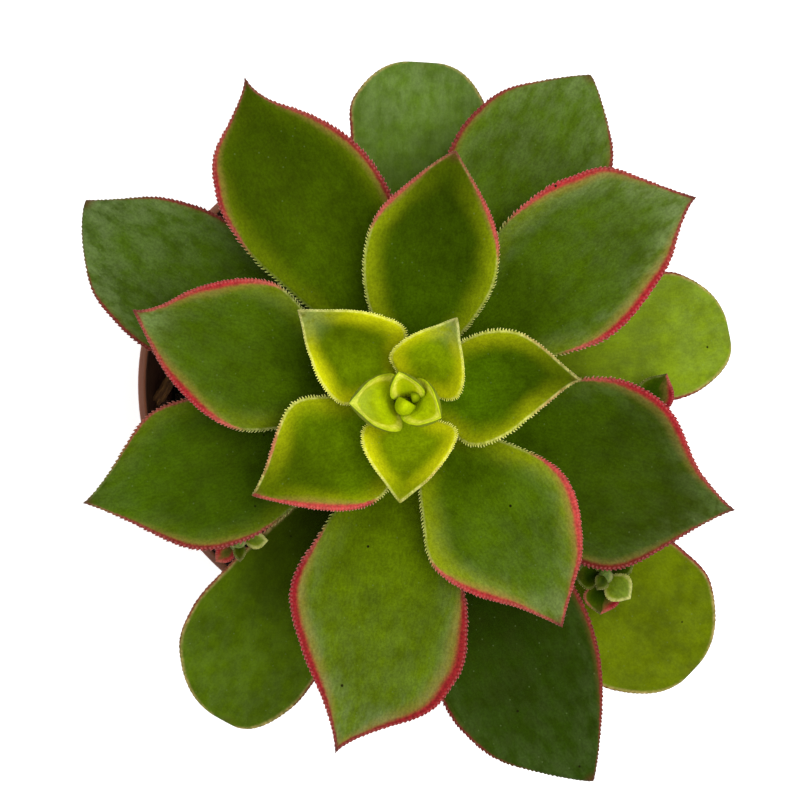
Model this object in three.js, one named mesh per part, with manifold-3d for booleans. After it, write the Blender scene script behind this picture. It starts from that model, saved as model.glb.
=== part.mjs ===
// Potted aeonium: a rosette of toothed leaves on a woody stem, with three side shoots, in a round nursery pot.
// Millimetres, +Z up. The origin is the middle of the pot's underside. Seen from above, +Y is up the picture.
import * as THREE from 'three';
import { mergeVertices } from 'three/addons/utils/BufferGeometryUtils.js';
import Module from 'manifold-3d';

const wasm = await Module();
wasm.setup();

// Pieces that touch keep this clearance.
const GAP = 0.3;

// Pot: a 10.5 cm round nursery pot with a rolled rim and a ring of drain holes.
const POT_RIM_RADIUS = 52.5;
const POT_HEIGHT = 90;
const POT_BASE_RADIUS = 36.5;
const POT_WALL = 1.5;
const POT_FLOOR = 2;
const RIM_WIDTH = 1.9;
const RIM_BAND_HEIGHT = 11;
const RIM_BAND_STEP = 1.6;
const RIM_ROUNDING = 0.6;
const RIM_FLARE = 2.2;
const FOOT_ROUNDING = 0.7;
const GROOVE_HEIGHT = 1.6;
const GROOVE_INNER_RADIUS = 17;
const GROOVE_OUTER_RADIUS = 32.5;
const GROOVE_SLOPE = 1.2;
const DRAIN_HOLES = 8;
const DRAIN_RADIUS = 3.5;
const DRAIN_CIRCLE = 25;
const POT_SIDES = 40;

// Soil: fills the pot to below the rim and rises a little towards the stem.
const SOIL_EDGE_TOP = 75;
const SOIL_MIDDLE_TOP = 79;
const SOIL_ROUGHNESS = 0.8;
const SOIL_SIDES = POT_SIDES / 2;
const SOIL_RINGS = 5;

// Stem: a woody stem that leans a little from its place in the soil to the middle of the crown.
const STEM_FOOT = new THREE.Vector2(1.0, -1.0);
const CROWN = new THREE.Vector2(3.4, -3.0);
const STEM_BOTTOM = 52;
const CROWN_BOTTOM = 110;
const STEM_TOP = 142.2;
const STEM_RADIUS = 6.2;
const STEM_TOP_RADIUS = 2.2;
const STEM_SIDES = 14;
const STEM_RINGS = 30;
const SCAR_HEIGHT = 0.5;
const SCAR_SPACING = 2.6;
const SCAR_SIZE = 2.2;

// Golden angle: each leaf stands this far round the stem from the one below it.
const GOLDEN_ANGLE = THREE.MathUtils.degToRad(137.5);

// The lowest leaf's height on the stem, and how much higher each next one stands.
const FIRST_LEAF_Z = 112;
const LEAF_RISE = 1.35;

// A leaf's half-widths are given at these fractions of its length, from its root to its tip.
const WIDTH_STATIONS = [0.2, 0.4, 0.6, 0.75, 0.88];
const LEAF_ROWS = [0, 0.12, 0.24, 0.38, 0.51, 0.63, 0.74, 0.84, 0.92, 0.97];
const LEAF_COLUMNS = [1, 0.5, 0, -0.5, -1];
const MARGIN_BEVEL = 0.8;
const THINNEST_BLADE = 0.6;

// Teeth run along both margins, closer together near the tip, and lean towards it.
const TOOTH_START = 0.2;
const TOOTH_END = 0.985;
const TOOTH_CROWDING = 1.5;
const TOOTH_LEAN = 0.65;

// The kinds of leaf, oldest first: thickness at the root and at the margin, how far the blade is cupped (radians from
// midrib to margin), how far the midrib arches off a straight line, the length and number of teeth, and the colour.
const KINDS = {
  old: { thick: 3.0, edge: 1.1, cup: 0.1, arch: 6, tooth: 0.4, teeth: 12, color: 0x6f7d1e },
  dull: { thick: 3.0, edge: 1.1, cup: 0.2, arch: 6, tooth: 0.7, teeth: 16, color: 0x3f5c22 },
  full: { thick: 3.0, edge: 1.1, cup: 0.26, arch: 5, tooth: 1.0, teeth: 20, color: 0x4a6e14 },
  upper: { thick: 2.6, edge: 1.0, cup: 0.36, arch: 3, tooth: 1.0, teeth: 18, color: 0x5c8018 },
  inner: { thick: 2.3, edge: 1.0, cup: 0.5, arch: 1, tooth: 1.0, teeth: 14, color: 0x6f8f1a },
  young: { thick: 1.9, edge: 0.9, cup: 0.75, arch: 0, tooth: 0.8, teeth: 10, color: 0x9aae1e },
  bud: { thick: 1.3, edge: 0.7, cup: 1.15, arch: 0.6, tooth: 0.5, teeth: 7, color: 0xbccb2c },
  small: { thick: 1.5, edge: 0.8, cup: 0.5, arch: 0.6, tooth: 0.5, teeth: 3, color: 0x7d9440 },
};

// Each leaf, oldest first: name, kind, tip, half-widths left and right of the midrib (seen from the stem towards the
// tip), and how each side closes into the tip: below 1 it closes round, above 1 it is drawn out to a point.
const LEAVES = [
  ['g4', 'old', [62.3, -58.7, 105], [4.5, 9, 14, 16.6, 15.2], [4.5, 9, 14, 16, 13.5], [0.4, 0.4]],
  ['g3', 'old', [7.6, 65.5, 107], [4.2, 8, 11.9, 13.8, 13.5], [4.2, 8, 12.4, 13.4, 12.6], [0.33, 0.33]],
  ['g2', 'old', [-32.3, -68.8, 108], [4.2, 8, 11, 11.4, 9.6], [4.2, 7.5, 14.7, 17.3, 15.4], [0.38, 0.36]],
  ['g1', 'old', [69.5, 9.9, 109], [4.5, 9, 13.3, 15.1, 13.8], [4.2, 8, 10.8, 10.8, 9.4], [0.36, 0.36]],
  ['f3', 'dull', [-59.2, 36.3, 124], [5.5, 12.5, 18, 17.3, 12.7], [5, 9.5, 11.2, 10.2, 6], [0.7, 1.1]],
  ['f2', 'dull', [41, -78.7, 122], [5.5, 10.5, 13.6, 11.6, 6.5], [6, 13, 18.8, 18.6, 12.4], [0.9, 0.88]],
  ['f1', 'dull', [40.2, 60.7, 126], [5.5, 12, 16.2, 16, 10.8], [5.5, 11, 14, 14, 9.4], [0.9, 0.85]],
  ['e5', 'full', [-58.5, -23.1, 136], [5.5, 12.6, 16.5, 14.5, 6.7], [4.8, 9.5, 12.6, 12, 5.2], [1.15, 1.3]],
  ['e4', 'full', [67.3, -24.4, 137], [5.5, 12, 16.8, 13.8, 4.5], [6, 13.8, 18.8, 17.6, 8.2], [1.3, 1.2]],
  ['e3', 'full', [-27.1, 58.8, 139], [4.8, 9.9, 14.5, 14.8, 9.2], [6, 13, 15.1, 12.1, 4.7], [1.35, 2]],
  ['e2', 'full', [-9.7, -70.8, 141], [6.3, 14.8, 20, 19.8, 11.9], [5, 10.1, 14.3, 9.8, 3.6], [1.45, 1.4]],
  ['e1', 'full', [59.1, 35.4, 143], [5.8, 12.9, 17.3, 16.8, 11.6], [4.8, 8.8, 12.5, 10, 5.2], [1.1, 1.45]],
  ['d5', 'upper', [-47.5, 13.8, 150], [5.6, 12.3, 15.4, 12.7, 7.2], [4.5, 8.4, 12.9, 10.6, 4.8], [1, 1.7]],
  ['d4', 'upper', [33.1, -45.8, 151], [5.6, 12.3, 16.5, 14.2, 8.5], [4.6, 9.4, 13.2, 10, 4.1], [1.1, 1.1]],
  ['d3', 'upper', [13.2, 43.3, 153], [5.6, 10.9, 12.8, 11.5, 6.6], [5.2, 9.8, 12.3, 10.6, 5.7], [0.8, 1]],
  ['d2', 'inner', [-24.9, -20.9, 154], [7, 12.8, 12.8, 9.5, 5.1], [4.6, 8.3, 10.2, 7, 2.8], [0.9, 1.2]],
  ['d1', 'inner', [36.5, 0.5, 155], [5.5, 9.6, 11, 9.5, 5], [5.5, 10, 8.9, 5.3, 2], [1.1, 1.6]],
  ['c3', 'young', [-16.3, 13.4, 157], [4.6, 8.2, 7.5, 5.4, 2.7], [5.2, 10, 9.2, 6.9, 3.4], [1.4, 1]],
  ['c2', 'young', [2.7, -22.2, 157], [5, 9.8, 9.5, 7.1, 4], [4, 7.4, 7, 4.9, 2.4], [1.1, 1]],
  ['c1', 'young', [13.2, 12, 158], [3.8, 6.5, 6.1, 4.3, 1.8], [4.2, 7.9, 7.5, 5.4, 2.5], [1.1, 1]],
  ['b1', 'bud', [-6.7, -3.8, 157], [3.2, 5.5, 5.9, 5.2, 3.5], [3, 4.6, 4.9, 4.4, 2.9], [1, 1]],
  ['b2', 'bud', [10.3, -6.5, 157], [2.6, 4.2, 4.9, 5, 4.3], [2.2, 3, 3.5, 3.8, 3.3], [0.8, 0.8]],
];

// Heart: three bud leaves still closed round the growing point.
const HEART_CORE_RADIUS = 1.4;
const HEART_CORE_TOP = 151;
const HEART_LEAVES = [
  ['b3', 'bud', [2.5, 2.0, 157], [1.4, 1.8, 2, 2, 1.6], [1.8, 2.9, 3.4, 3.3, 2.7], [0.9, 0.9]],
  ['b4', 'bud', [2.7, -5.2, 155.5], [1.3, 2, 2.2, 2, 1.4], [1.2, 1.8, 2, 1.8, 1.3], [0.7, 0.7]],
  ['b5', 'bud', [5.6, -2.4, 154.5], [1, 1.5, 1.7, 1.6, 1.1], [1, 1.5, 1.7, 1.6, 1.1], [0.7, 0.7]],
];

// Side shoots: each leaves the stem at one height, runs out under the big leaves and ends in a small rosette.
// turn is the bearing of its lowest leaf, in degrees from +X, and leaf is the length of that leaf.
const SHOOT_RADIUS = 1.3;
const SHOOT_LEAF_WIDTHS = [0.14, 0.24, 0.31, 0.28, 0.16];
const SHOOT_LEAF_SHRINK = 0.12;
const SHOOT_LEAF_RISE = 0.9;
const SHOOT_TIP_RISE = 0.4;
const SHOOT_LEAVES = 6;
const SHOOTS = {
  shoot_right: { start: 101, middle: [28, -8, 103], crown: [50, -8.5, 118.2], turn: 62, leaf: 12 },
  shoot_lower_right: { start: 114.6, middle: [26, -23.5, 119.5], crown: [43, -37.7, 121], turn: 285, leaf: 7.5 },
  shoot_lower_left: { start: 101, middle: [-20, -18, 106], crown: [-29, -30.9, 121], turn: 222, leaf: 6.5 },
};

const COLORS = { pot: 0x7a4a32, soil: 0x2b1e15, stem: 0x6e5b43 };

// A closed solid from a geometry: only its positions are kept and shared corners are merged.
function toSolid(geometry) {
  const bare = new THREE.BufferGeometry();
  bare.setAttribute('position', geometry.getAttribute('position'));
  bare.setIndex(geometry.getIndex());
  const merged = mergeVertices(bare, 1e-4);
  const vertProperties = new Float32Array(merged.getAttribute('position').array);
  const triVerts = new Uint32Array(merged.getIndex().array);
  return new wasm.Manifold(new wasm.Mesh({ numProp: 3, vertProperties, triVerts }));
}

function toMesh(name, solid, color, roughness) {
  const { vertProperties, triVerts } = solid.getMesh();
  const geometry = new THREE.BufferGeometry();
  geometry.setAttribute('position', new THREE.BufferAttribute(new Float32Array(vertProperties), 3));
  geometry.setIndex(new THREE.BufferAttribute(new Uint32Array(triVerts), 1));
  geometry.computeVertexNormals();
  const material = new THREE.MeshStandardMaterial({ color, roughness, metalness: 0 });
  const mesh = new THREE.Mesh(geometry, material);
  mesh.name = name;
  return mesh;
}

// A turned solid: the profile holds (radius, height) pairs and starts and ends on the axis.
function turned(profile, sides) {
  const points = profile.map(([radius, height]) => new THREE.Vector2(radius, height));
  return new THREE.LatheGeometry(points, sides).rotateX(Math.PI / 2);
}

function geometryFrom(points, faces) {
  const geometry = new THREE.BufferGeometry();
  geometry.setAttribute('position', new THREE.Float32BufferAttribute(points, 3));
  geometry.setIndex(faces);
  return geometry;
}

// A solid skinned over rings of equally many points, listed from the bottom up, each anticlockwise from above.
function skinned(rings) {
  const sides = rings[0].length;
  const points = rings.flat().flatMap((point) => [point.x, point.y, point.z]);
  const faces = [];
  for (let ring = 0; ring < rings.length - 1; ring += 1) {
    for (let side = 0; side < sides; side += 1) {
      const a = ring * sides + side;
      const b = ring * sides + ((side + 1) % sides);
      faces.push(a, b, a + sides, b, b + sides, a + sides);
    }
  }
  const top = (rings.length - 1) * sides;
  for (let side = 1; side < sides - 1; side += 1) {
    faces.push(0, side + 1, side);
    faces.push(top, top + side, top + side + 1);
  }
  return geometryFrom(points, faces);
}

function potWallOuter(height) {
  const bandFoot = POT_HEIGHT - RIM_BAND_HEIGHT;
  const bandFootRadius = POT_RIM_RADIUS - RIM_BAND_STEP - RIM_FLARE;
  return THREE.MathUtils.mapLinear(height, 0, bandFoot, POT_BASE_RADIUS, bandFootRadius);
}

function potWallInner(height) {
  return potWallOuter(height) - POT_WALL;
}

function potSolid() {
  const bandFoot = POT_HEIGHT - RIM_BAND_HEIGHT;
  const floorTop = POT_FLOOR + GROOVE_HEIGHT;
  const body = turned([
    [0, 0],
    [GROOVE_INNER_RADIUS, 0],
    [GROOVE_INNER_RADIUS + GROOVE_SLOPE, GROOVE_HEIGHT],
    [GROOVE_OUTER_RADIUS - GROOVE_SLOPE, GROOVE_HEIGHT],
    [GROOVE_OUTER_RADIUS, 0],
    [POT_BASE_RADIUS - FOOT_ROUNDING, 0],
    [potWallOuter(FOOT_ROUNDING), FOOT_ROUNDING],
    [potWallOuter(bandFoot), bandFoot],
    [potWallOuter(bandFoot) + RIM_BAND_STEP, bandFoot + RIM_ROUNDING],
    [POT_RIM_RADIUS - RIM_ROUNDING / 2, POT_HEIGHT - 3 * RIM_ROUNDING],
    [POT_RIM_RADIUS, POT_HEIGHT - 1.5 * RIM_ROUNDING],
    [POT_RIM_RADIUS - RIM_ROUNDING, POT_HEIGHT],
    [POT_RIM_RADIUS - RIM_WIDTH + RIM_ROUNDING, POT_HEIGHT],
    [POT_RIM_RADIUS - RIM_WIDTH, POT_HEIGHT - 1.5 * RIM_ROUNDING],
    [potWallOuter(bandFoot) + RIM_BAND_STEP - POT_WALL, bandFoot + POT_WALL],
    [potWallInner(bandFoot - 1), bandFoot - 1],
    [potWallInner(POT_FLOOR), POT_FLOOR],
    [GROOVE_OUTER_RADIUS + GROOVE_SLOPE, POT_FLOOR],
    [GROOVE_OUTER_RADIUS, floorTop],
    [GROOVE_INNER_RADIUS, floorTop],
    [GROOVE_INNER_RADIUS - GROOVE_SLOPE, POT_FLOOR],
    [0, POT_FLOOR],
  ], POT_SIDES);
  let pot = toSolid(body);
  for (let hole = 0; hole < DRAIN_HOLES; hole += 1) {
    const turn = (hole + 0.5) * 2 * Math.PI / DRAIN_HOLES;
    const drill = new THREE.CylinderGeometry(DRAIN_RADIUS, DRAIN_RADIUS, floorTop * 3, 12).rotateX(Math.PI / 2);
    drill.translate(DRAIN_CIRCLE * Math.cos(turn), DRAIN_CIRCLE * Math.sin(turn), floorTop / 2);
    pot = pot.subtract(toSolid(drill));
  }
  return pot;
}

// Lumps of the soil's surface.
function soilLump(x, y) {
  const coarse = Math.sin(0.31 * x + 1.3) * Math.cos(0.27 * y - 0.4);
  const fine = Math.sin(0.73 * x - 0.61 * y + 0.8);
  return SOIL_ROUGHNESS * (coarse + 0.5 * fine);
}

function soilSolid() {
  const bottom = POT_FLOOR + GROOVE_HEIGHT + GAP;
  const edge = potWallInner(SOIL_EDGE_TOP - 2) - GAP;
  const profile = [[0, bottom], [potWallInner(bottom) - GAP, bottom], [edge, SOIL_EDGE_TOP - 2]];
  for (let ring = 0; ring <= SOIL_RINGS; ring += 1) {
    const inward = ring / SOIL_RINGS;
    const height = THREE.MathUtils.lerp(SOIL_EDGE_TOP, SOIL_MIDDLE_TOP, Math.sin(inward * Math.PI / 2));
    profile.push([edge * (1 - inward), height]);
  }
  const body = turned(profile, SOIL_SIDES);
  const position = body.getAttribute('position');
  for (let i = 0; i < position.count; i += 1) {
    if (position.getZ(i) > SOIL_EDGE_TOP - 1) {
      position.setZ(i, position.getZ(i) + soilLump(position.getX(i), position.getY(i)));
    }
  }
  const holeRadius = STEM_RADIUS + GAP;
  const holeDepth = SOIL_MIDDLE_TOP + 10 - STEM_BOTTOM;
  const hole = new THREE.CylinderGeometry(holeRadius, holeRadius, holeDepth, STEM_SIDES).rotateX(Math.PI / 2);
  hole.translate(STEM_FOOT.x, STEM_FOOT.y, STEM_BOTTOM - GAP + holeDepth / 2);
  return toSolid(body).subtract(toSolid(hole));
}

// The stem's centre line stands straight in the soil, then leans over to the crown.
function stemCentre(height) {
  const lean = THREE.MathUtils.smoothstep(height, SOIL_MIDDLE_TOP, CROWN_BOTTOM);
  return new THREE.Vector3(
    THREE.MathUtils.lerp(STEM_FOOT.x, CROWN.x, lean),
    THREE.MathUtils.lerp(STEM_FOOT.y, CROWN.y, lean),
    height,
  );
}

function stemRadius(height) {
  const up = THREE.MathUtils.clamp((height - CROWN_BOTTOM) / (STEM_TOP - CROWN_BOTTOM), 0, 1);
  return THREE.MathUtils.lerp(STEM_RADIUS, STEM_TOP_RADIUS, up);
}

// Raised scars of shed leaves wind down the bare stem in the same spiral as the living ones.
function scarRelief(turn, height) {
  let relief = 0;
  const scars = Math.floor((CROWN_BOTTOM - SOIL_MIDDLE_TOP) / SCAR_SPACING) - 1;
  for (let scar = 0; scar < scars; scar += 1) {
    const up = (height - (CROWN_BOTTOM - 3 - scar * SCAR_SPACING)) / SCAR_SIZE;
    const offTurn = THREE.MathUtils.euclideanModulo(turn - scar * GOLDEN_ANGLE + Math.PI, 2 * Math.PI) - Math.PI;
    const round = offTurn * STEM_RADIUS / (2 * SCAR_SIZE);
    relief += SCAR_HEIGHT * Math.exp(-(up * up + round * round));
  }
  return relief;
}

function stemSolid(grow = 0) {
  const rings = [];
  for (let ring = 0; ring < STEM_RINGS; ring += 1) {
    const height = THREE.MathUtils.lerp(STEM_BOTTOM - grow, STEM_TOP + grow, ring / (STEM_RINGS - 1));
    const centre = stemCentre(height);
    const points = [];
    for (let side = 0; side < STEM_SIDES; side += 1) {
      const turn = side * 2 * Math.PI / STEM_SIDES;
      const radius = stemRadius(height) + grow + scarRelief(turn, height);
      points.push(new THREE.Vector3(radius * Math.cos(turn), radius * Math.sin(turn), 0).add(centre));
    }
    rings.push(points);
  }
  return toSolid(skinned(rings));
}

// Half-width of a leaf at a fraction of its length: a smooth curve through the widths, then a power curve to the tip.
function halfWidth(widths, closing, rootWidth, t) {
  const ts = [0, ...WIDTH_STATIONS];
  const ws = [rootWidth, ...widths];
  const last = ts.length - 1;
  if (t >= ts[last]) {
    return ws[last] * Math.pow(Math.max(0, 1 - t) / (1 - ts[last]), closing);
  }
  const pitch = (k) => (ws[k + 1] - ws[k]) / (ts[k + 1] - ts[k]);
  const slope = (k) => {
    if (k === 0) {
      return pitch(0);
    }
    if (k === last) {
      return -ws[last] * closing / (1 - ts[last]);
    }
    const before = ts[k] - ts[k - 1];
    const after = ts[k + 1] - ts[k];
    return (pitch(k - 1) * after + pitch(k) * before) / (before + after);
  };
  const k = ts.findLastIndex((station) => station <= t);
  const span = ts[k + 1] - ts[k];
  const s = (t - ts[k]) / span;
  return (1 + 2 * s) * (1 - s) ** 2 * ws[k]
    + s * (1 - s) ** 2 * span * slope(k)
    + s * s * (3 - 2 * s) * ws[k + 1]
    + s * s * (s - 1) * span * slope(k + 1);
}

// The form of one leaf. t runs from the root (0) to the tip (1), v across from the right margin (-1) to the left (1).
class LeafForm {
  constructor({ base, tip, left, right, close, kind, rootRadius }) {
    Object.assign(this, { base, tip, left, right, close, rootRadius }, KINDS[kind]);
    this.reach = Math.hypot(tip.x - base.x, tip.y - base.y);
    this.rise = tip.z - base.z;
    this.along = new THREE.Vector3((tip.x - base.x) / this.reach, (tip.y - base.y) / this.reach, 0);
    this.side = new THREE.Vector3(-this.along.y, this.along.x, 0);
    this.chord = Math.hypot(this.reach, this.rise);
    this.rootWidth = Math.min(0.62 * Math.min(left[0], right[0]), 0.9 * rootRadius);
  }

  // Distance out from the stem's axis, and height, of the midrib.
  midrib(t) {
    const bulge = this.arch * 4 * t * (1 - t);
    const outward = this.reach * t + this.rootRadius * (1 - t) ** 3 - bulge * this.rise / this.chord;
    const height = this.base.z + this.rise * t + bulge * this.reach / this.chord;
    return [outward, height];
  }

  slope(t) {
    const [outwardA, heightA] = this.midrib(t - 0.001);
    const [outwardB, heightB] = this.midrib(t + 0.001);
    return Math.atan2(heightB - heightA, outwardB - outwardA);
  }

  width(t, v) {
    return v > 0
      ? halfWidth(this.left, this.close[0], this.rootWidth, t)
      : halfWidth(this.right, this.close[1], this.rootWidth, t);
  }

  thickness(t, v) {
    const middle = this.thick * (1 - 0.45 * t);
    return Math.max(THINNEST_BLADE, THREE.MathUtils.lerp(middle, this.edge * (1 - 0.3 * t), v * v));
  }

  // A point of the blade, lifted off its middle surface by lift. Across, the blade is an arc of a circle.
  point(t, v, lift = 0) {
    const [outward, height] = this.midrib(t);
    const slope = this.slope(t);
    const radius = this.width(t, v) / Math.sin(this.cup);
    const across = (radius - lift) * Math.sin(this.cup * v);
    const up = radius - (radius - lift) * Math.cos(this.cup * v);
    return new THREE.Vector3(this.base.x, this.base.y, 0)
      .addScaledVector(this.along, outward - Math.sin(slope) * up)
      .addScaledVector(this.side, across)
      .setZ(height + Math.cos(slope) * up);
  }

  // A point that stands out from the margin by reach, leaning towards the tip. hand is 1 on the left, -1 on the right.
  toothTip(t, hand, reach) {
    const margin = this.point(t, hand);
    const forward = this.point(t + 0.005, hand).sub(this.point(t - 0.005, hand)).normalize();
    const inward = this.point(t, 0.9 * hand).sub(margin);
    const outward = inward.addScaledVector(forward, -inward.dot(forward)).normalize().negate();
    return margin.addScaledVector(outward, reach).addScaledVector(forward, 0.35 * reach);
  }
}

// Triangles between two lines of points that run the same way, seen with the first line on the left.
function zipped(leftLine, rightLine, faces, flipped) {
  let i = 0;
  let j = 0;
  while (i < leftLine.length - 1 || j < rightLine.length - 1) {
    const leftNext = leftLine[i + 1]?.t ?? Infinity;
    const rightNext = rightLine[j + 1]?.t ?? Infinity;
    const stepLeft = leftNext <= rightNext;
    const next = stepLeft ? leftLine[i + 1] : rightLine[j + 1];
    const corners = [leftLine[i].index, rightLine[j].index, next.index];
    if (new Set(corners).size === 3) {
      faces.push(...(flipped ? corners.reverse() : corners));
    }
    i += stepLeft ? 1 : 0;
    j += stepLeft ? 0 : 1;
  }
}

// One leaf: an upper and a lower face in five lines each, joined along margins that carry the teeth.
function leafSolid(form, rows = LEAF_ROWS, columns = LEAF_COLUMNS) {
  const points = [];
  const faces = [];
  const addPoint = (t, point) => {
    points.push(point.x, point.y, point.z);
    return { t, index: points.length / 3 - 1 };
  };
  const tip = addPoint(1, form.point(0.9999, 0));

  const faceLine = (column, upper) => {
    const line = rows.map((t) => {
      const inset = 1 - Math.min(0.4, MARGIN_BEVEL / form.width(t, column));
      const v = column * inset;
      const lift = form.thickness(t, v) / 2;
      return addPoint(t, form.point(t, v, upper ? lift : -lift));
    });
    return [...line, tip];
  };

  const marginLine = (hand) => {
    const line = [addPoint(0, form.point(0, hand)), addPoint(TOOTH_START, form.point(TOOTH_START, hand))];
    const toothAt = (step) => {
      const progress = 1 - (1 - step / form.teeth) ** TOOTH_CROWDING;
      return THREE.MathUtils.lerp(TOOTH_START, TOOTH_END, progress);
    };
    for (let tooth = 0; tooth < form.teeth; tooth += 1) {
      const crest = toothAt(tooth + TOOTH_LEAN);
      const end = toothAt(tooth + 1);
      const reach = form.tooth * Math.min(1, 4 * (1 - crest) + 0.3);
      line.push(addPoint(crest, form.toothTip(crest, hand, reach)));
      line.push(addPoint(end, form.point(end, hand)));
    }
    return [...line, tip];
  };

  const upper = columns.map((column) => faceLine(column, true));
  const lower = columns.map((column) => faceLine(column, false));
  const leftMargin = marginLine(1);
  const rightMargin = marginLine(-1);
  const upperLines = [leftMargin, ...upper, rightMargin];
  const lowerLines = [leftMargin, ...lower, rightMargin];
  for (let strip = 0; strip < upperLines.length - 1; strip += 1) {
    zipped(upperLines[strip], upperLines[strip + 1], faces, false);
    zipped(lowerLines[strip], lowerLines[strip + 1], faces, true);
  }
  const root = [...upperLines, ...lower.toReversed()].map((line) => line[0].index);
  for (let k = 1; k < root.length - 1; k += 1) {
    faces.push(root[0], root[k + 1], root[k]);
  }
  return toSolid(geometryFrom(points, faces));
}

function rosetteForm([, kind, tip, left, right, close], order) {
  const height = FIRST_LEAF_Z + LEAF_RISE * order;
  return new LeafForm({
    base: new THREE.Vector3(CROWN.x, CROWN.y, height),
    tip: new THREE.Vector3(...tip),
    rootRadius: 0.85 * stemRadius(height),
    left, right, close, kind,
  });
}

function heartSolid() {
  const core = turned([
    [0, STEM_TOP],
    [HEART_CORE_RADIUS, STEM_TOP],
    [HEART_CORE_RADIUS, HEART_CORE_TOP - HEART_CORE_RADIUS],
    [0.6 * HEART_CORE_RADIUS, HEART_CORE_TOP - 0.3 * HEART_CORE_RADIUS],
    [0, HEART_CORE_TOP],
  ], 10).translate(CROWN.x, CROWN.y, 0);
  let heart = toSolid(core);
  HEART_LEAVES.forEach(([, kind, tip, left, right, close], order) => {
    const form = new LeafForm({
      base: new THREE.Vector3(CROWN.x, CROWN.y, STEM_TOP + 1.2 + order),
      tip: new THREE.Vector3(...tip),
      rootRadius: 0.7 * HEART_CORE_RADIUS,
      left, right, close, kind,
    });
    heart = heart.add(leafSolid(form, [0, 0.15, 0.3, 0.45, 0.6, 0.75, 0.9]));
  });
  return heart;
}

function shootSolid({ start, middle, crown, turn, leaf }) {
  const crownPoint = new THREE.Vector3(...crown);
  const growingPoint = crownPoint.clone().setZ(crownPoint.z + SHOOT_LEAVES * SHOOT_LEAF_RISE);
  const path = new THREE.CatmullRomCurve3([
    stemCentre(start),
    new THREE.Vector3(...middle),
    crownPoint.clone().setZ(crownPoint.z - 2.5),
    growingPoint,
  ]);
  const section = new THREE.Shape();
  section.absarc(0, 0, SHOOT_RADIUS, 0, 2 * Math.PI);
  const branch = new THREE.ExtrudeGeometry(section, {
    extrudePath: path, steps: 12, bevelEnabled: false, curveSegments: 4,
  });
  let shoot = toSolid(branch);
  for (let order = 0; order < SHOOT_LEAVES; order += 1) {
    const bearing = THREE.MathUtils.degToRad(turn) + order * GOLDEN_ANGLE;
    const length = leaf * (1 - SHOOT_LEAF_SHRINK * order);
    const base = crownPoint.clone().setZ(crownPoint.z - 1.5 + order * SHOOT_LEAF_RISE);
    const tip = base.clone();
    tip.x += length * Math.cos(bearing);
    tip.y += length * Math.sin(bearing);
    tip.z += SHOOT_TIP_RISE * leaf + 0.6 * order;
    const widths = SHOOT_LEAF_WIDTHS.map((share) => share * length);
    const form = new LeafForm({
      base, tip, left: widths, right: widths, close: [1.1, 1.1], kind: 'small', rootRadius: 0.6 * SHOOT_RADIUS,
    });
    shoot = shoot.add(leafSolid(form, [0, 0.25, 0.5, 0.75, 0.92], [1, 0, -1]));
  }
  return shoot;
}

const plant = new THREE.Group();
plant.add(toMesh('pot', potSolid(), COLORS.pot, 0.55));
plant.add(toMesh('soil', soilSolid(), COLORS.soil, 0.95));
plant.add(toMesh('stem', stemSolid(), COLORS.stem, 0.85));
const stemWithGap = stemSolid(GAP);
LEAVES.forEach((leaf, order) => {
  const [name, kind] = leaf;
  const solid = leafSolid(rosetteForm(leaf, order)).subtract(stemWithGap);
  plant.add(toMesh(`leaf_${name}`, solid, KINDS[kind].color, 0.5));
});
plant.add(toMesh('heart', heartSolid().subtract(stemWithGap), KINDS.bud.color, 0.5));
for (const [name, shoot] of Object.entries(SHOOTS)) {
  plant.add(toMesh(name, shootSolid(shoot).subtract(stemWithGap), KINDS.small.color, 0.5));
}

export default plant;
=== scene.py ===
"""Looks for the potted aeonium: toothed leaves, woody stem, side shoots, soil with bark and a plastic pot.

Sizes are in millimetres, in the frame's axes, until a mesh is made in metres. Seen from above, +Y is up the
picture. Left and right of a leaf are meant as seen from the stem towards its tip.
"""
import math
from collections import namedtuple
from types import SimpleNamespace

import bmesh
import bpy
import numpy as np
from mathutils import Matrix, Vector, noise


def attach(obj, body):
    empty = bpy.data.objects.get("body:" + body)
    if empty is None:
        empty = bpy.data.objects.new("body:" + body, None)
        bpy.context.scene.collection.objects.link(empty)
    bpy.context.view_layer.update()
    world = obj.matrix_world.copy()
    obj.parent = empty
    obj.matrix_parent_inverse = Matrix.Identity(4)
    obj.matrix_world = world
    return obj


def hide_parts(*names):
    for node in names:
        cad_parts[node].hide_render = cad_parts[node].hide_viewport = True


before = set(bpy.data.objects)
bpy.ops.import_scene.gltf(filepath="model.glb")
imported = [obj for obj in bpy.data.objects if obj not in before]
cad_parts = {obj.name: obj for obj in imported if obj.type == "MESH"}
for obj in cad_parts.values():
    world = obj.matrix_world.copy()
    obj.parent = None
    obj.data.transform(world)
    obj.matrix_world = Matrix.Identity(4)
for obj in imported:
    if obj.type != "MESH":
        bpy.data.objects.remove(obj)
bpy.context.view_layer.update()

MM = 0.001
BODY = "root"

# Camera: straight above the plant, as the photograph was taken, with a lens that frames it alike.
CAMERA_PLACE = (2.7, -3.2, 650)
CAMERA_LENS = 120
CAMERA_REACH = 20

# Soft boxes: name, bearing in degrees from +X, height angle, distance and size in metres, power in watts.
# They face a point above the ground. Leaf colours are written as they look under LIGHT_LEVEL, the light's
# strength on a level surface.
SOFT_BOXES = (
    ("key", 10, 70, 1.5, 1.1, 19),
    ("fill_left", 165, 40, 1.5, 1.2, 2),
    ("fill_front", 285, 45, 1.5, 1.2, 2),
)
LIT_HEIGHT = 0.12
WORLD_LIGHT = 0.72
LIGHT_LEVEL = 1.7

# Floor: half its side and its drop under the pot, in metres, and its own glow.
FLOOR_HALF = 2.2
FLOOR_DROP = 0.0005
FLOOR_GLOW = 0.35

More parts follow.
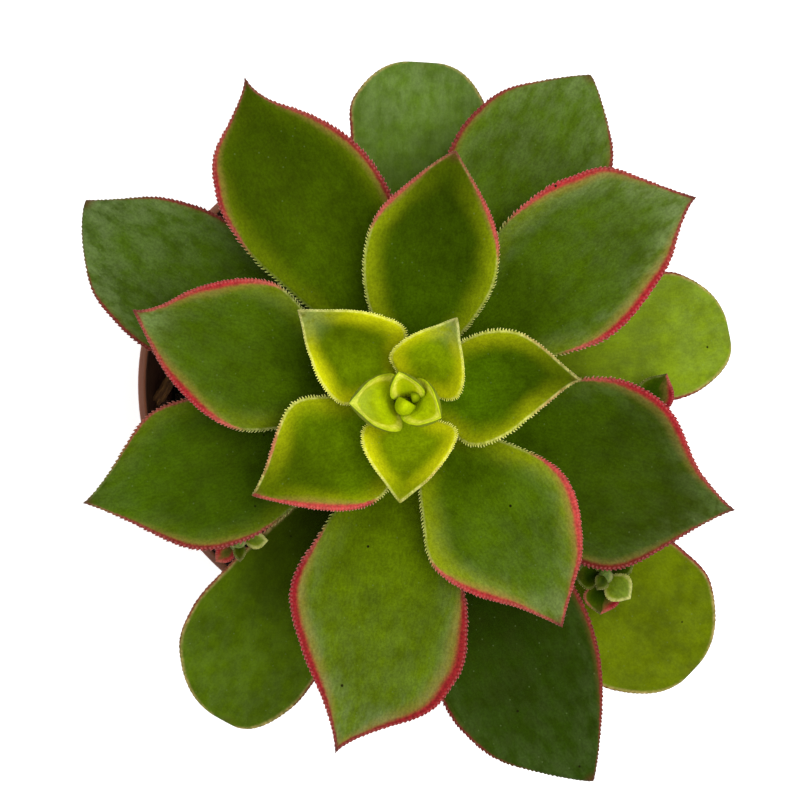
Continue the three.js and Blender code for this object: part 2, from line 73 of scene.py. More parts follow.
# Pot, as in the frame: outer radii and heights.
POT_RIM_RADIUS = 52.5
POT_HEIGHT = 90
POT_BASE_RADIUS = 36.5
POT_WALL = 1.5
POT_FLOOR = 2
RIM_WIDTH = 1.9
RIM_BAND_HEIGHT = 11
RIM_BAND_STEP = 1.6
RIM_ROUNDING = 0.6
RIM_FLARE = 2.2
BAND_FOOT = POT_HEIGHT - RIM_BAND_HEIGHT
CORNER_ROUNDING = 0.7
GROOVE_HEIGHT = 1.6
GROOVE_TOP = POT_FLOOR + GROOVE_HEIGHT
GROOVE_INNER_RADIUS = 17
GROOVE_OUTER_RADIUS = 32.5
GROOVE_SLOPE = 1.2
DRAIN_HOLES = 8
DRAIN_RADIUS = 3.5
DRAIN_CIRCLE = 25
DRAIN_SIDES = 40
POT_SIDES = 192

# Soil: its dome, and the depth of its lumps, clods and crumbs.
SOIL_EDGE_TOP = 75
SOIL_MIDDLE_TOP = 79
LUMP_DEPTH = 0.8
CLOD_DEPTH = 1.0
CRUMB_DEPTH = 0.45
SOIL_SIDES = 220
SOIL_RINGS = 64
GAP = 0.3

# Loose crumbs and bark chips on the soil. Squeezes and half-sizes are drawn from the spans given, one for
# each direction. Roughness is a depth and a scale, tilt is in radians, and lift is the share of the size that
# a lump's middle stands above the soil.
CRUMBS = 900
CRUMB_SEED = 7
CRUMB_CLEARANCE = 2.2
CRUMB_LEAST = 0.45
CRUMB_SPREAD = 1.5
CRUMB_SQUEEZE = ((0.8, 1.3), (0.7, 1.1), (0.6, 0.9))
CRUMB_ROUGHNESS = (0.45, 1.6)
CRUMB_TILT = 0.6
CRUMB_LIFT = 0.15
BARK_CHIPS = 130
BARK_SEED = 11
BARK_CLEARANCE = 4.5
BARK_HALVES = ((2.0, 5.2), (1.0, 2.2), (0.4, 0.9))
BARK_BOXINESS = 0.55
BARK_ROUGHNESS = (0.3, 2.3)
BARK_TILT = 0.45
BARK_LIFT = 0.7
WALL_CHIP_FOOT = (-44.0, 5.5, 76.0)
WALL_CHIP_HEAD = (-49.0, -4.0, 85.5)
WALL_CHIP_HALF = (1.3, 0.6)
WALL_CHIP_TONE = 0.3

# Stem, as in the frame, with a scar for each leaf that it has shed.
STEM_FOOT = (1.0, -1.0)
CROWN = (3.4, -3.0)
STEM_BOTTOM = 52
CROWN_BOTTOM = 110
STEM_TOP = 142.2
STEM_RADIUS = 6.2
STEM_TOP_RADIUS = 2.2
STEM_SIDES = 96
STEM_RINGS = 240
STEM_WRINKLE = 0.28
SCAR_HEIGHT = 0.5
SCAR_SPACING = 2.6
SCAR_SIZE = 2.2

# Leaves: their spiral, the shares of the length at which half-widths are given, how narrow the root is, how
# the blade thins from root to tip and rounds off at its edge, and the fold and the waves along it. A grid is
# the rows of a blade's body and tip and its columns.
GOLDEN_ANGLE = math.radians(137.5)
FIRST_LEAF_Z = 112
LEAF_RISE = 1.35
LEAF_ROOT = 0.85
WIDTH_STATIONS = (0.2, 0.4, 0.6, 0.75, 0.88)
ROOT_NARROWING = 0.62
ROOT_FILL = 0.9
THINNEST_BLADE = 0.6
THINNING = 0.45
EDGE_THINNING = 0.3
EDGE_ROUNDING = 0.9
CREASE_WIDTH = 1.6
CREASE_ONSET = 1.5
CREASE_FADE = 6
WAVE_RADIANS = 9
LEAF_GRID = (46, 16, 30)
HEART_GRID = (30, 12, 20)
SHOOT_GRID = (22, 10, 16)
MARGIN_END = 0.9995
MARGIN_STEPS = 500

# The red margin, along the leaf: how far before its start it begins, how long it swells, its share of the
# width given, and how it narrows at the tip, as ramp() takes it.
BLUSH_LEAD = 0.12
BLUSH_SWELL = 0.3
BLUSH_SHARE = 0.85
BLUSH_BY_RUN = (0.925, 0.77, 0.38)

# Margin teeth. Each is a cone of rings, given by the share of its length and of its base. Its half-base is a
# share of the spacing. The last four say how a tooth's size changes, as ramp() takes them: with its distance
# from the margin's root and tip ends, with the red margin's width, and along the leaf.
TOOTH_SIDES = 6
TOOTH_RINGS = ((-0.3, 1.0), (0.35, 0.75), (0.75, 0.38))
TOOTH_HALF_BASE = 0.42
TOOTH_FLATNESS = 0.55
TOOTH_BEND = 1.6
TOOTH_LEVELLING = (1, 1, 0.3)
TOOTH_LEANS = (0.75, 1.25)
TOOTH_LENGTHS = (0.6, 1.25)
TOOTH_SCATTER = 0.16
TEETH_START = 0.16
TEETH_BY_ROOT = (0, 4.4, 0.45)
TEETH_BY_TIP = (0, 9.1, 0.35)
TEETH_BY_BLUSH = (1.3, 0, 0.6)
TEETH_BY_RUN = (0.9, 0.6, 0.55)

# The kinds of leaf. thick, edge, cup and arch are the frame's, apart from fleshier buds. tooth and spacing
# are the margin teeth's length and distance, lean how far they bend forward, crease the depth of the fold
# along the midrib, wave the margin's waves.
Kind = namedtuple("Kind", "thick edge cup arch tooth spacing lean crease wave")
KINDS = {
    "old": Kind(3.0, 1.1, 0.10, 6.0, 0.14, 1.00, 1.0, 0.10, 0.35),
    "dull": Kind(3.0, 1.1, 0.20, 6.0, 0.36, 0.85, 1.2, 0.20, 0.50),
    "full": Kind(3.0, 1.1, 0.26, 5.0, 0.50, 0.85, 1.2, 0.30, 0.50),
    "upper": Kind(2.6, 1.0, 0.36, 3.0, 0.40, 0.66, 1.3, 0.35, 0.40),
    "inner": Kind(2.3, 1.0, 0.50, 1.0, 0.52, 0.62, 0.6, 0.40, 0.30),
    "young": Kind(1.9, 1.0, 0.75, 0.0, 0.50, 0.58, 0.5, 0.55, 0.15),
    "bud": Kind(1.8, 1.3, 1.15, 0.6, 0.00, 0.50, 0.0, 0.15, 0.00),
    "small": Kind(1.5, 0.8, 0.50, 0.6, 0.24, 0.50, 0.6, 0.10, 0.00),
}

# Each leaf, oldest first: name, kind, tip, half-widths left and right of the midrib, closing of each side.
LEAVES = (
    ("g4", "old", (62.3, -58.7, 105), (4.5, 9, 14, 16.6, 15.2), (4.5, 9, 14, 16, 13.5), (0.4, 0.4)),
    ("g3", "old", (7.6, 65.5, 107), (4.2, 8, 11.9, 13.8, 13.5), (4.2, 8, 12.4, 13.4, 12.6), (0.33, 0.33)),
    ("g2", "old", (-32.3, -68.8, 108), (4.2, 8, 11, 11.4, 9.6), (5, 10, 14.9, 17.3, 15.4), (0.38, 0.36)),
    ("g1", "old", (69.5, 9.9, 109), (4.5, 9, 13.3, 15.1, 13.8), (4.2, 8, 10.8, 10.8, 9.4), (0.36, 0.36)),
    ("f3", "dull", (-59.2, 36.3, 124), (5.5, 12.5, 18, 17.3, 12.7), (5, 9.5, 11.2, 10.2, 6), (0.7, 1.1)),
    ("f2", "dull", (41, -78.7, 122), (5.5, 10.5, 13.6, 11.6, 6.5), (6, 13, 18.8, 18.6, 12.4), (0.9, 0.88)),
    ("f1", "dull", (40.2, 60.7, 126), (5.5, 12, 16.2, 16, 10.8), (5.5, 11, 14, 14, 9.4), (0.9, 0.85)),
    ("e5", "full", (-58.5, -23.1, 136), (5.5, 12.6, 16.5, 14.5, 6.7), (4.8, 9.5, 12.6, 12, 5.2), (1.15, 1.3)),
    ("e4", "full", (67.3, -24.4, 137), (5.5, 12, 16.8, 13.8, 4.5), (6, 13.8, 18.8, 17.6, 8.2), (1.3, 1.2)),
    ("e3", "full", (-27.1, 58.8, 139), (4.8, 9.9, 14.5, 14.8, 9.2), (6, 13, 15.1, 12.1, 4.7), (1.35, 2)),
    ("e2", "full", (-9.7, -70.8, 141), (6.3, 14.8, 20, 19.8, 11.9), (5, 10.1, 14.3, 9.8, 3.6), (1.45, 1.4)),
    ("e1", "full", (59.1, 35.4, 143), (5.8, 12.9, 17.3, 16.8, 11.6), (4.8, 8.8, 12.5, 10, 5.2), (1.1, 1.45)),
    ("d5", "upper", (-47.5, 13.8, 150), (5.6, 12.3, 15.4, 12.7, 7.2), (4.5, 8.4, 12.9, 10.6, 4.8), (1, 1.7)),
    ("d4", "upper", (33.1, -45.8, 151), (5.6, 12.3, 16.5, 14.2, 8.5), (4.6, 9.4, 13.2, 10, 4.1), (1.1, 1.1)),
    ("d3", "upper", (13.2, 43.3, 153), (5.6, 10.9, 12.8, 11.5, 6.6), (5.2, 9.8, 12.3, 10.6, 5.7), (0.8, 1)),
    ("d2", "inner", (-24.9, -20.9, 154), (7, 12.8, 12.8, 9.5, 5.1), (4.6, 8.3, 10.2, 7, 2.8), (0.9, 1.2)),
    ("d1", "inner", (36.5, 0.5, 155), (5.5, 9.6, 11, 9.5, 5), (5.5, 10, 8.9, 5.3, 2), (1.1, 1.6)),
    ("c3", "young", (-16.3, 13.4, 157), (4.6, 8.2, 7.5, 5.4, 2.7), (5.2, 10, 9.2, 6.9, 3.4), (1.4, 1)),
    ("c2", "young", (2.7, -22.2, 157), (5, 9.8, 9.5, 7.1, 4), (4, 7.4, 7, 4.9, 2.4), (1.1, 1)),
    ("c1", "young", (13.2, 12, 158), (3.8, 6.5, 6.1, 4.3, 1.8), (4.2, 7.9, 7.5, 5.4, 2.5), (1.1, 1)),
    ("b1", "bud", (-6.7, -3.8, 157), (3.2, 5.5, 5.9, 5.2, 3.5), (3, 4.6, 4.9, 4.4, 2.9), (1, 1)),
    ("b2", "bud", (10.3, -6.5, 157), (2.7, 4.3, 4.9, 4.6, 3.3), (2.3, 3.2, 3.7, 3.6, 2.7), (0.75, 0.75)),
)

# The heart: one open bud, two buds still closed, and the growing point between them. A closed bud has a
# centre, a half-length towards its flat face, a half-width, a half-height, that face's bearing and how dull
# the bud is.
HEART_CORE_RADIUS = 1.0
HEART_CORE_TOP = 145.5
HEART_CORE_SIDES = 24
HEART_LEAF_Z = STEM_TOP + 1.2
HEART_LEAF = ((2.5, 2.0, 157), (1.5, 2.1, 2.3, 2.1, 1.4), (2.0, 3.3, 4.0, 3.8, 2.7), (0.8, 0.7))
HEART_SEED = 40
BUD_FLAT = 0.52
BUD_BULGE = 0.2
BUD_WIDENING = 0.25
CLOSED_BUDS = (
    ((3.6, -4.3, 148.9), 1.9, 1.9, 4.2, 60, 0.25),
    ((5.45, -2.6, 148.8), 1.15, 1.1, 4.0, 190, 0.55),
)

# Side shoots: where each leaves the stem, a point on its way, its crown, the bearing and length of its lowest
# leaf, how broad its leaves are, the red margin left and right of the lowest leaf, which of its leaves is
# pale, if any, and how much longer that one has grown.
SHOOT_RADIUS = 1.3
SHOOT_RINGS = 90
SHOOT_SIDES = 20
SHOOT_SCAR_STEP = 1.1
SHOOT_SCAR_HEIGHT = 0.12
SHOOT_BEND = 2.5
SHOOT_LEAVES = 6
SHOOT_LEAF_WIDTHS = (0.14, 0.24, 0.31, 0.28, 0.16)
SHOOT_LEAF_CLOSING = (1.1, 1.1)
SHOOT_LEAF_SHRINK = 0.12
SHOOT_LEAF_RISE = 0.9
SHOOT_LEAF_SINK = 1.5
SHOOT_TIP_RISE = 0.4
SHOOT_TIP_STEP = 0.6
SHOOT_LEAF_ROOT = 0.6
SHOOT_TEETH_START = 0.25
SHOOT_SEED = 60
Shoot = namedtuple("Shoot", "start middle crown turn leaf broad blush pale growth")
SHOOTS = {
    "shoot_right": Shoot(101, (28, -8, 103), (50, -8.5, 118.2), 62, 12, 1.0, (0.15, 1.3), None, 1),
    "shoot_lower_right": Shoot(114.6, (26, -23.5, 119.5), (43, -37.7, 121), 265, 8, 1.45, (1.3, 0.4), 3, 1.3),
    "shoot_lower_left": Shoot(101, (-20, -18, 106), (-29, -30.9, 121), 222, 6.5, 0.95, (1.0, 1.2), 1, 1),
}

# How each leaf is coloured: light, yellow and grey shift its green, the bloom value is the pale film that
# grows towards the tip and the frost value the whiter patches at the tip itself, both partly the leaf's own
# bloom and partly painted sheen, and halo the strength of the yellow halo. fade brightens or darkens the leaf
# at its root
# and its tip: painted light and shade as well as the leaf's own colour. The red margin's width in mm, the
# share of the leaf's length where it starts and its depth (-1 coral, 0 crimson, 1 dark red, the dark red
# being painted shade on margins turned from the light) stand for left and right.
Look = namedtuple("Look", "light yellow grey bloom frost halo fade blush start deep")
LOOKS = {
    "g4": Look(0.38, 0.32, 0, 0.03, 0, 0.15, (1.00, 0.70), (0.65, 0.50), (0.30, 0.35), (0, 0)),
    "g3": Look(0.44, 0, 0.15, 0.20, 0, 0.10, (0.20, 1.30), (0.55, 0.55), (0.40, 0.40), (0, 0)),
    "g2": Look(0.30, 0.05, 0, 0.05, 0, 0.10, (0.05, 1.10), (0.45, 0.40), (0.40, 0.40), (0, 0)),
    "g1": Look(0.78, 0.25, 0.10, 0.08, 0, 0.20, (0.50, 1.15), (0.65, 0.60), (0.30, 0.35), (0, 0)),
    "f3": Look(0.28, 0, 0, 0.20, 0.15, 0.10, (0.62, 0.95), (0.60, 0.60), (0.20, 0.20), (0.7, 0.7)),
    "f2": Look(0.06, 0, 0, 0.06, 0, 0, (0.42, 0.72), (0.75, 0.50), (0.30, 0.40), (0.7, 0.9)),
    "f1": Look(0.40, 0, 0, 0.18, 0, 0.40, (1.00, 0.92), (0.80, 0.80), (0.20, 0.20), (0.5, 0.6)),
    "e5": Look(0.26, 0, 0, 0.02, 0, 0.30, (0.45, 0.95), (0.90, 0.45), (0.50, 0.20), (0.75, 0.65)),
    "e4": Look(0.32, 0, 0, 0.06, 0.20, 0.10, (0.95, 0.50), (1.35, 1.00), (0.50, 0.45), (0.15, 0.9)),
    "e3": Look(0.58, 0, 0, 0, 0, 0.50, (0.90, 0.42), (1.10, 1.00), (0.60, 0.30), (0.35, 0.45)),
    "e2": Look(0.70, 0.10, 0, 0.13, 0, 0.35, (0.78, 0.72), (2.10, 1.60), (0.52, 0.45), (0.4, 0.3)),
    "e1": Look(0.42, 0, 0, 0.14, 0, 0.50, (0.80, 0.80), (1.30, 1.40), (0.58, 0.50), (-0.4, 0)),
    "d5": Look(0.38, 0, 0, 0.05, 0.45, 0.40, (0.80, 0.80), (1.40, 1.30), (0.59, 0.60), (0, -0.3)),
    "d4": Look(0.55, 0, 0, 0.12, 0, 0.90, (0.95, 0.80), (1.25, 1.20), (0.50, 0.60), (-0.8, -0.3)),
    "d3": Look(0.33, 0, 0, 0, 0, 0.90, (1.10, 0.50), (0.95, 0.85), (0.69, 0.67), (0, -0.5)),
    "d2": Look(0.62, 0.05, 0, 0, 0, 0.85, (1.85, 0.60), (1.20, 0.50), (0.53, 0.68), (-1, 0)),
    "d1": Look(0.34, 0, 0, 0, 0, 0.90, (2.40, 0.60), (0.40, 0.50), (0.74, 0.76), (0, 0)),
    "c3": Look(0.60, 0.15, 0, 0, 0.60, 0.90, (1.70, 0.65), (0.30, 0.20), (0.80, 0.80), (0, 0)),
    "c2": Look(0.88, 0.30, 0, 0, 0, 1, (1.90, 0.95), (0.30, 0.20), (0.70, 0.75), (0, 0)),
    "c1": Look(0.92, 0.28, 0, 0, 0.80, 0.90, (1.60, 1.25), (0, 0), (0.80, 0.80), (0, 0)),
    "b1": Look(1, 0.85, 0, 0, 0.30, 1, (2.20, 1.25), (0, 0), (0.90, 0.90), (0, 0)),
    "b2": Look(0.95, 0.78, 0, 0, 0, 1, (2.30, 1.70), (0, 0), (0.90, 0.90), (0, 0)),
    "heart": Look(0.95, 0.75, 0, 0, 0, 1, (2.30, 1.70), (0, 0), (0.90, 0.90), (0, 0)),
    "shoot": Look(0.10, 0, 0, 0, 0, 0.20, (0.45, 0.95), (0.12, 0.12), (0.10, 0.10), (0.2, 0.2)),
    "pale_shoot": Look(0.80, 0.25, 0.05, 0.15, 0.10, 0.40, (0.80, 1.10), (0, 0), (0.90, 0.90), (0, 0)),
}

# How the kinds differ in finish: the halo's width in mm, its colour (0 dull to 1 bright yellow) and how far
# it fades again at the very edge, the strength of the pale line, its distance from the edge, its width and
# its share of yellow, the strength of the film inside the margin and of the brown tip, how brown the blush
# is, the contrast of the grain, and a slot name.
# On buds the halo is partly a painted highlight and the line set inside the edge is a painted highlight, and
# tone and dip give the underside a dark rim at the edge that is a painted shadow outline. The film inside the
# margin is partly painted sheen.
Finish = namedtuple("Finish", "halo tone dip line line_at line_width line_yellow sage tip brown grain slot")
FINISHES = {
    "old": Finish(4.0, 0, 0, 0.90, 0, 1.00, 0, 0, 0.2, 0.78, 0.10, "leaf_old"),
    "dull": Finish(4.5, 0, 0, 0, 0, 0.50, 0, 0.1, 0.7, 0.5, 0.16, "leaf_dull"),
    "full": Finish(5.5, 0.05, 0, 0.10, 0, 0.50, 0, 0.4, 0.8, 0, 0.17, "leaf_full"),
    "upper": Finish(6.0, 0.12, 0, 0.30, 0, 0.50, 0, 0.35, 0.6, 0, 0.17, "leaf_upper"),
    "inner": Finish(5.5, 0.30, 0, 0.50, 0, 0.45, 0.2, 0, 0.4, 0, 0.17, "leaf_inner"),
    "young": Finish(5.2, 0.85, 0, 0.45, 0, 0.40, 0.1, 0, 0.3, 0, 0.14, "leaf_young"),
    "bud": Finish(4.0, 0.90, 1, 0.65, 0.85, 1.00, 1, 0, 0, 0, 0.10, "leaf_bud"),
    "small": Finish(2.0, 0.10, 0, 0.10, 0, 0.50, 0, 0.1, 0.2, 0, 0.15, "shoot"),
    "pale": Finish(1.5, 0.30, 0, 0.60, 0, 0.80, 0, 0, 0, 0.25, 0.15, "shoot"),
}

# What all leaves share: how far the green varies, how far from the margin the film, the halo's dip and the
# beads reach and how far from the tip the frost and the brown (from none to full, in mm), the film and the
# frost being partly painted sheen, and how much of the colour the underside and the teeth take. GRAIN_STEP
# keeps the leaves apart in the grain's noise.
GREEN_CONTRAST = 0.27
FILM_AND_SHEEN_REACH = (6.5, 1.2)
DIP_REACH = (0.9, 0.0)
BEAD_REACH = (0.5, 0.2)
FROST_AND_SHEEN_REACH = (10.0, 2.0)
BROWN_REACH = (3.0, 0.5)
BEAD_STRENGTH = 0.35
UNDERSIDE_SHARE = 0.7
TOOTH_SHARE = 0.62
GRAIN_STEP = 17.0
PLAIN_SKIN = dict(
    margin_mm=9, blush_mm=0, run=0.6, deep=0, tooth=0, under=0, tip_mm=20, bead_run=0, grain=(0, 0, 0),
)

# One mesh's points in mm, its faces and the values at its points.
Shape = namedtuple("Shape", "points faces values")


def srgb(red, green, blue, gain=1.0):
    """A display colour, 0 to 255, as the linear colour that a shader takes."""
    channels = []
    for value in (red, green, blue):
        share = value / 255
        linear = share / 12.92 if share <= 0.04045 else ((share + 0.055) / 1.055) ** 2.4
        channels.append(linear * gain)
    return (*channels, 1.0)


def blend(first, second, share):
    """A colour part of the way from the first to the second."""
    return tuple(a + (b - a) * share for a, b in zip(first, second))


def lit(red, green, blue):
    """The surface colour that looks like this display colour in the studio light."""
    return srgb(red, green, blue, 1 / LIGHT_LEVEL)


DARK_GREEN = lit(36, 66, 1)
LIGHT_GREEN = lit(108, 141, 2)
BUD_YELLOW = lit(184, 200, 6)
GREY_GREEN = lit(104, 128, 72)
# Pale grey-green of the film and the frost, partly the leaf's bloom and partly painted sheen; it also tints
# the pale dots.
BLOOM_AND_SHEEN_GREY = lit(142, 164, 104)
HALO_OLIVE = lit(126, 148, 10)
# These three are not divided by the light level, so they show brighter than the studio light makes them:
# painted light that keeps the halo, the pale line and the teeth bright on steep, shaded margins. The last is
# also the painted highlight on bud margins.
HALO_BRIGHT = srgb(222, 222, 14)
CREAM = srgb(232, 228, 150)
LINE_AND_GLOSS_YELLOW = srgb(255, 250, 110)
CRIMSON = lit(178, 34, 50)
# Dark red of the margin at its tip, and painted shade on red margins turned from the light.
TIP_AND_SHADED_RED = lit(110, 26, 28)
CORAL = lit(216, 78, 74)
SALMON = lit(216, 118, 92)
BEAD_PINK = lit(226, 130, 126)
TAN = lit(176, 132, 70)
BROWN_RED = lit(128, 52, 44)
TIP_BROWN = lit(104, 44, 40)
TOOTH_WHITE = lit(228, 188, 172)
UNDER_GREEN = lit(126, 150, 84)
SPECK_BLACK = lit(22, 26, 8)


class Shader:
    """Short calls that build one material's nodes. A value is a socket, a number or a colour."""

    def __init__(self, name):
        self.material = bpy.data.materials.new(name)
        self.material.use_nodes = True
        self.tree = self.material.node_tree
        self.surface = self.tree.nodes["Principled BSDF"]

    def feed(self, socket, value):
        if isinstance(value, bpy.types.NodeSocket):
            self.tree.links.new(value, socket)
        else:
            socket.default_value = value

    def node(self, kind, output, inputs, **settings):
        """Adds a node with these settings, feeds its inputs, by name or number, and returns one output."""
        made = self.tree.nodes.new(kind)
        for name, value in settings.items():
            setattr(made, name, value)
        for key, value in inputs.items():
            self.feed(made.inputs[key], value)
        return made.outputs[output]

    def attribute(self, name, output="Fac"):
        return self.node("ShaderNodeAttribute", output, {}, attribute_name=name)

    def place(self):
        """The point's place in the frame, in millimetres."""
        return self.scaled(self.node("ShaderNodeTexCoord", "Object", {}), 1 / MM)

    def scaled(self, vector, factor):
        """A vector or a colour times a factor, which may change over the surface."""
        return self.node("ShaderNodeVectorMath", "Vector", {0: vector, "Scale": factor}, operation="SCALE")

    def stretched(self, vector, factors):
        return self.node("ShaderNodeVectorMath", "Vector", {0: vector, 1: factors}, operation="MULTIPLY")

    def math(self, operation, first, second=0.0):
        return self.node("ShaderNodeMath", 0, {0: first, 1: second}, operation=operation)

    def plus(self, first, second):
        return self.math("ADD", first, second)

    def times(self, first, second):
        return self.math("MULTIPLY", first, second)

    def ease(self, value, low, high, out_low=0.0, out_high=1.0):
        """A smooth step: out_low where value is at low, out_high where it is at high."""
        inputs = dict(enumerate((value, low, high, out_low, out_high)))
        return self.node("ShaderNodeMapRange", "Result", inputs, interpolation_type="SMOOTHSTEP")

    def noise(self, vector, scale, detail=3.0, roughness=0.55):
        inputs = dict(Vector=vector, Scale=scale, Detail=detail, Roughness=roughness)
        return self.node("ShaderNodeTexNoise", "Fac", inputs)

    def cells(self, vector, scale):
        """Distance to the nearest of scattered points, and that point's own random colour."""
        distance = self.node("ShaderNodeTexVoronoi", "Distance", dict(Vector=vector, Scale=scale))
        return distance, distance.node.outputs["Color"]

    def mix(self, share, first, second):
        """Two colours mixed. They are the Mix node's inputs 6 and 7, and its output 2."""
        return self.node("ShaderNodeMix", 2, {0: share, 6: first, 7: second}, data_type="RGBA")

    def bump(self, height, depth_mm, strength=1.0, normal=None):
        inputs = dict(Height=height, Distance=depth_mm * MM, Strength=strength)
        if normal is not None:
            inputs["Normal"] = normal
        return self.node("ShaderNodeBump", "Normal", inputs)

    def finish(self, color, roughness, normal, **constants):
        """The finished material. What is the same all over is set on the surface's own sockets."""
        given = {"Base Color": color, "Roughness": roughness, "Normal": normal}
        for name, value in constants.items():
            given[name.replace("_", " ")] = value
        for name, value in given.items():
            self.feed(self.surface.inputs[name], value)
        return self.material


def green_of(look, shift):
    """A leaf's green from its light and yellow, made lighter or darker by shift."""
    green = blend(DARK_GREEN, LIGHT_GREEN, look.light)
    green = blend(green, BUD_YELLOW, look.yellow)
    return (*(channel * (1 + shift) for channel in green[:3]), 1.0)


def leaf_fields(s):
    """The values and noises that a leaf's layers share. In these functions s is the shader, f its fields."""
    place = s.place()
    grain = s.attribute("grain", "Vector")
    return SimpleNamespace(
        edge=s.attribute("margin_mm"),
        tip=s.attribute("tip_mm"),
        run=s.attribute("run"),
        blush=s.attribute("blush_mm"),
        deep=s.attribute("deep"),
        grain=grain,
        clouds=s.noise(place, 0.10, 3, 0.55),
        patches=s.noise(place, 0.42, 4, 0.6),
        blots=s.noise(place, 1.0, 2, 0.5),
        velvet=s.noise(place, 2.4, 2, 0.6),
        streaks=s.noise(s.stretched(grain, (0.2, 0.34, 1)), 1.0, 4, 0.6),
        fibres=s.noise(s.stretched(grain, (0.8, 2.0, 1)), 1.0, 4, 0.65),
    )


def leaf_green(s, f, look, finish):
    """Mottled green, a patchy pale film towards the tip and the margin and whiter frost at the tip, both
    partly painted sheen, and painted light and shade at the root and the tip.
    """
    uneven = s.plus(s.times(f.clouds, 0.9), s.times(f.patches, 0.6))
    color = s.mix(s.ease(uneven, 0.5, 1.0), green_of(look, -GREEN_CONTRAST), green_of(look, GREEN_CONTRAST))
    color = s.mix(s.ease(f.run, 0.1, 0.6, 0.0, look.grey), color, GREY_GREEN)
    # The film by the margin and towards the tip, and the frost below, are partly the leaf's bloom and partly
    # painted sheen.
    sage = finish.sage * min(1.0, 6 * look.bloom)
    by_margin = s.times(s.ease(f.edge, *FILM_AND_SHEEN_REACH, 0.0, sage), s.ease(f.run, 0.3, 0.6))
    film_and_sheen = s.plus(s.ease(f.run, 0.36, 1.0, 0.0, look.bloom), by_margin)
    film_and_sheen = s.times(s.ease(f.streaks, 0.35, 0.65, 0.3, 1.7), film_and_sheen)
    # The look's fade makes the colour brighter or darker at the root and the tip: painted light and shade.
    color = s.scaled(s.mix(film_and_sheen, color, BLOOM_AND_SHEEN_GREY), s.ease(f.run, 0.12, 0.88, *look.fade))
    frost = s.times(s.ease(f.tip, *FROST_AND_SHEEN_REACH, 0.0, look.frost), s.ease(f.patches, 0.36, 0.52, 0.25, 1.0))
    return s.mix(frost, color, BLOOM_AND_SHEEN_GREY)


def leaf_halo(s, f, color, look, finish):
    """The yellow halo, strongest at the shoulders, and the pale line along the margin. On buds the halo is
    partly a painted highlight, and the line, set inside the edge, is a painted highlight.
    """
    wobble = s.ease(f.clouds, 0.3, 0.7, -0.12 * finish.halo, 0.12 * finish.halo)
    near = s.math("POWER", s.ease(s.plus(f.edge, wobble), finish.halo, 0.0), 1.3)
    near = s.times(near, s.ease(f.edge, *DIP_REACH, 1.0, 1 - finish.dip))
    shoulders = s.times(s.ease(f.run, 0.95, 0.65, 0.15, 1.0), s.ease(f.run, 0.0, 0.3, 0.2, look.halo))
    color = s.mix(s.times(near, shoulders), color, blend(HALO_OLIVE, HALO_BRIGHT, finish.tone))
    offset = s.math("ABSOLUTE", s.math("SUBTRACT", f.edge, finish.line_at))
    line = s.ease(offset, finish.line_width, 0.2 * finish.line_width)
    line = s.times(line, s.ease(f.blots, 0.3, 0.7, 0.3 * finish.line, finish.line))
    line_color = blend(blend(CREAM, TAN, finish.brown), LINE_AND_GLOSS_YELLOW, finish.line_yellow)
    return s.mix(line, color, line_color)


def leaf_blush(s, f, color, look, finish):
    """The red margin, crimson where wide, salmon where narrow, darker at the tip, darker red as painted shade
    on margins turned from the light, and a tan glow inside.
    """
    depth = s.plus(f.edge, s.ease(f.blots, 0.3, 0.7, -0.08, 0.08))
    depth = s.math("DIVIDE", depth, s.math("MAXIMUM", f.blush, 0.01))
    glow = s.times(s.ease(depth, 3.0, 0.9), s.ease(f.blush, 0.1, 0.9, 0.0, 0.3 + 0.45 * look.halo))
    color = s.mix(glow, color, blend(TAN, BROWN_RED, finish.brown))
    band = s.times(s.ease(depth, 1.5, 0.6), s.ease(f.blush, 0.05, 0.45))
    red = s.mix(s.ease(f.blush, 1.1, 0.3, 0.0, 0.8), CRIMSON, SALMON)
    red = s.mix(finish.brown, red, BROWN_RED)
    red = s.mix(s.ease(f.deep, 0.0, -1.0), red, CORAL)
    # Towards dark red at the tip, and where the depth is above 0: painted shade.
    red = s.mix(s.math("MAXIMUM", s.ease(f.run, 0.72, 0.97, 0.0, finish.tip), f.deep), red, TIP_AND_SHADED_RED)
    red = s.scaled(red, s.ease(s.plus(f.blots, f.velvet), 0.75, 1.2, 0.86, 1.12))
    color = s.mix(band, color, red)
    beads = s.math("SINE", s.times(s.attribute("bead_run"), 2 * math.pi))
    by_edge = s.ease(f.edge, *BEAD_REACH, 0.0, BEAD_STRENGTH * (1 - finish.brown))
    beads = s.times(s.ease(beads, -0.9, 0.9), by_edge)
    beads = s.times(beads, s.ease(f.blush, 0.1, 0.5))
    return band, s.mix(beads, color, BEAD_PINK)


def leaf_details(s, f, color, finish):
    """Velvet grain, a few black specks of dirt and many pale dots."""
    mottle = s.plus(f.fibres, f.velvet)
    color = s.scaled(color, s.ease(mottle, 0.75, 1.25, 1 - finish.grain, 1 + finish.grain))
    distance, chance = s.cells(f.grain, 0.16)
    specks = s.times(s.ease(distance, 0.055, 0.03), s.math("GREATER_THAN", chance, 0.6))
    color = s.mix(specks, color, SPECK_BLACK)
    distance, chance = s.cells(f.grain, 0.7)
    dots = s.times(s.ease(distance, 0.15, 0.06, 0.0, 0.22), s.math("GREATER_THAN", chance, 0.62))
    return s.mix(dots, color, BLOOM_AND_SHEEN_GREY)


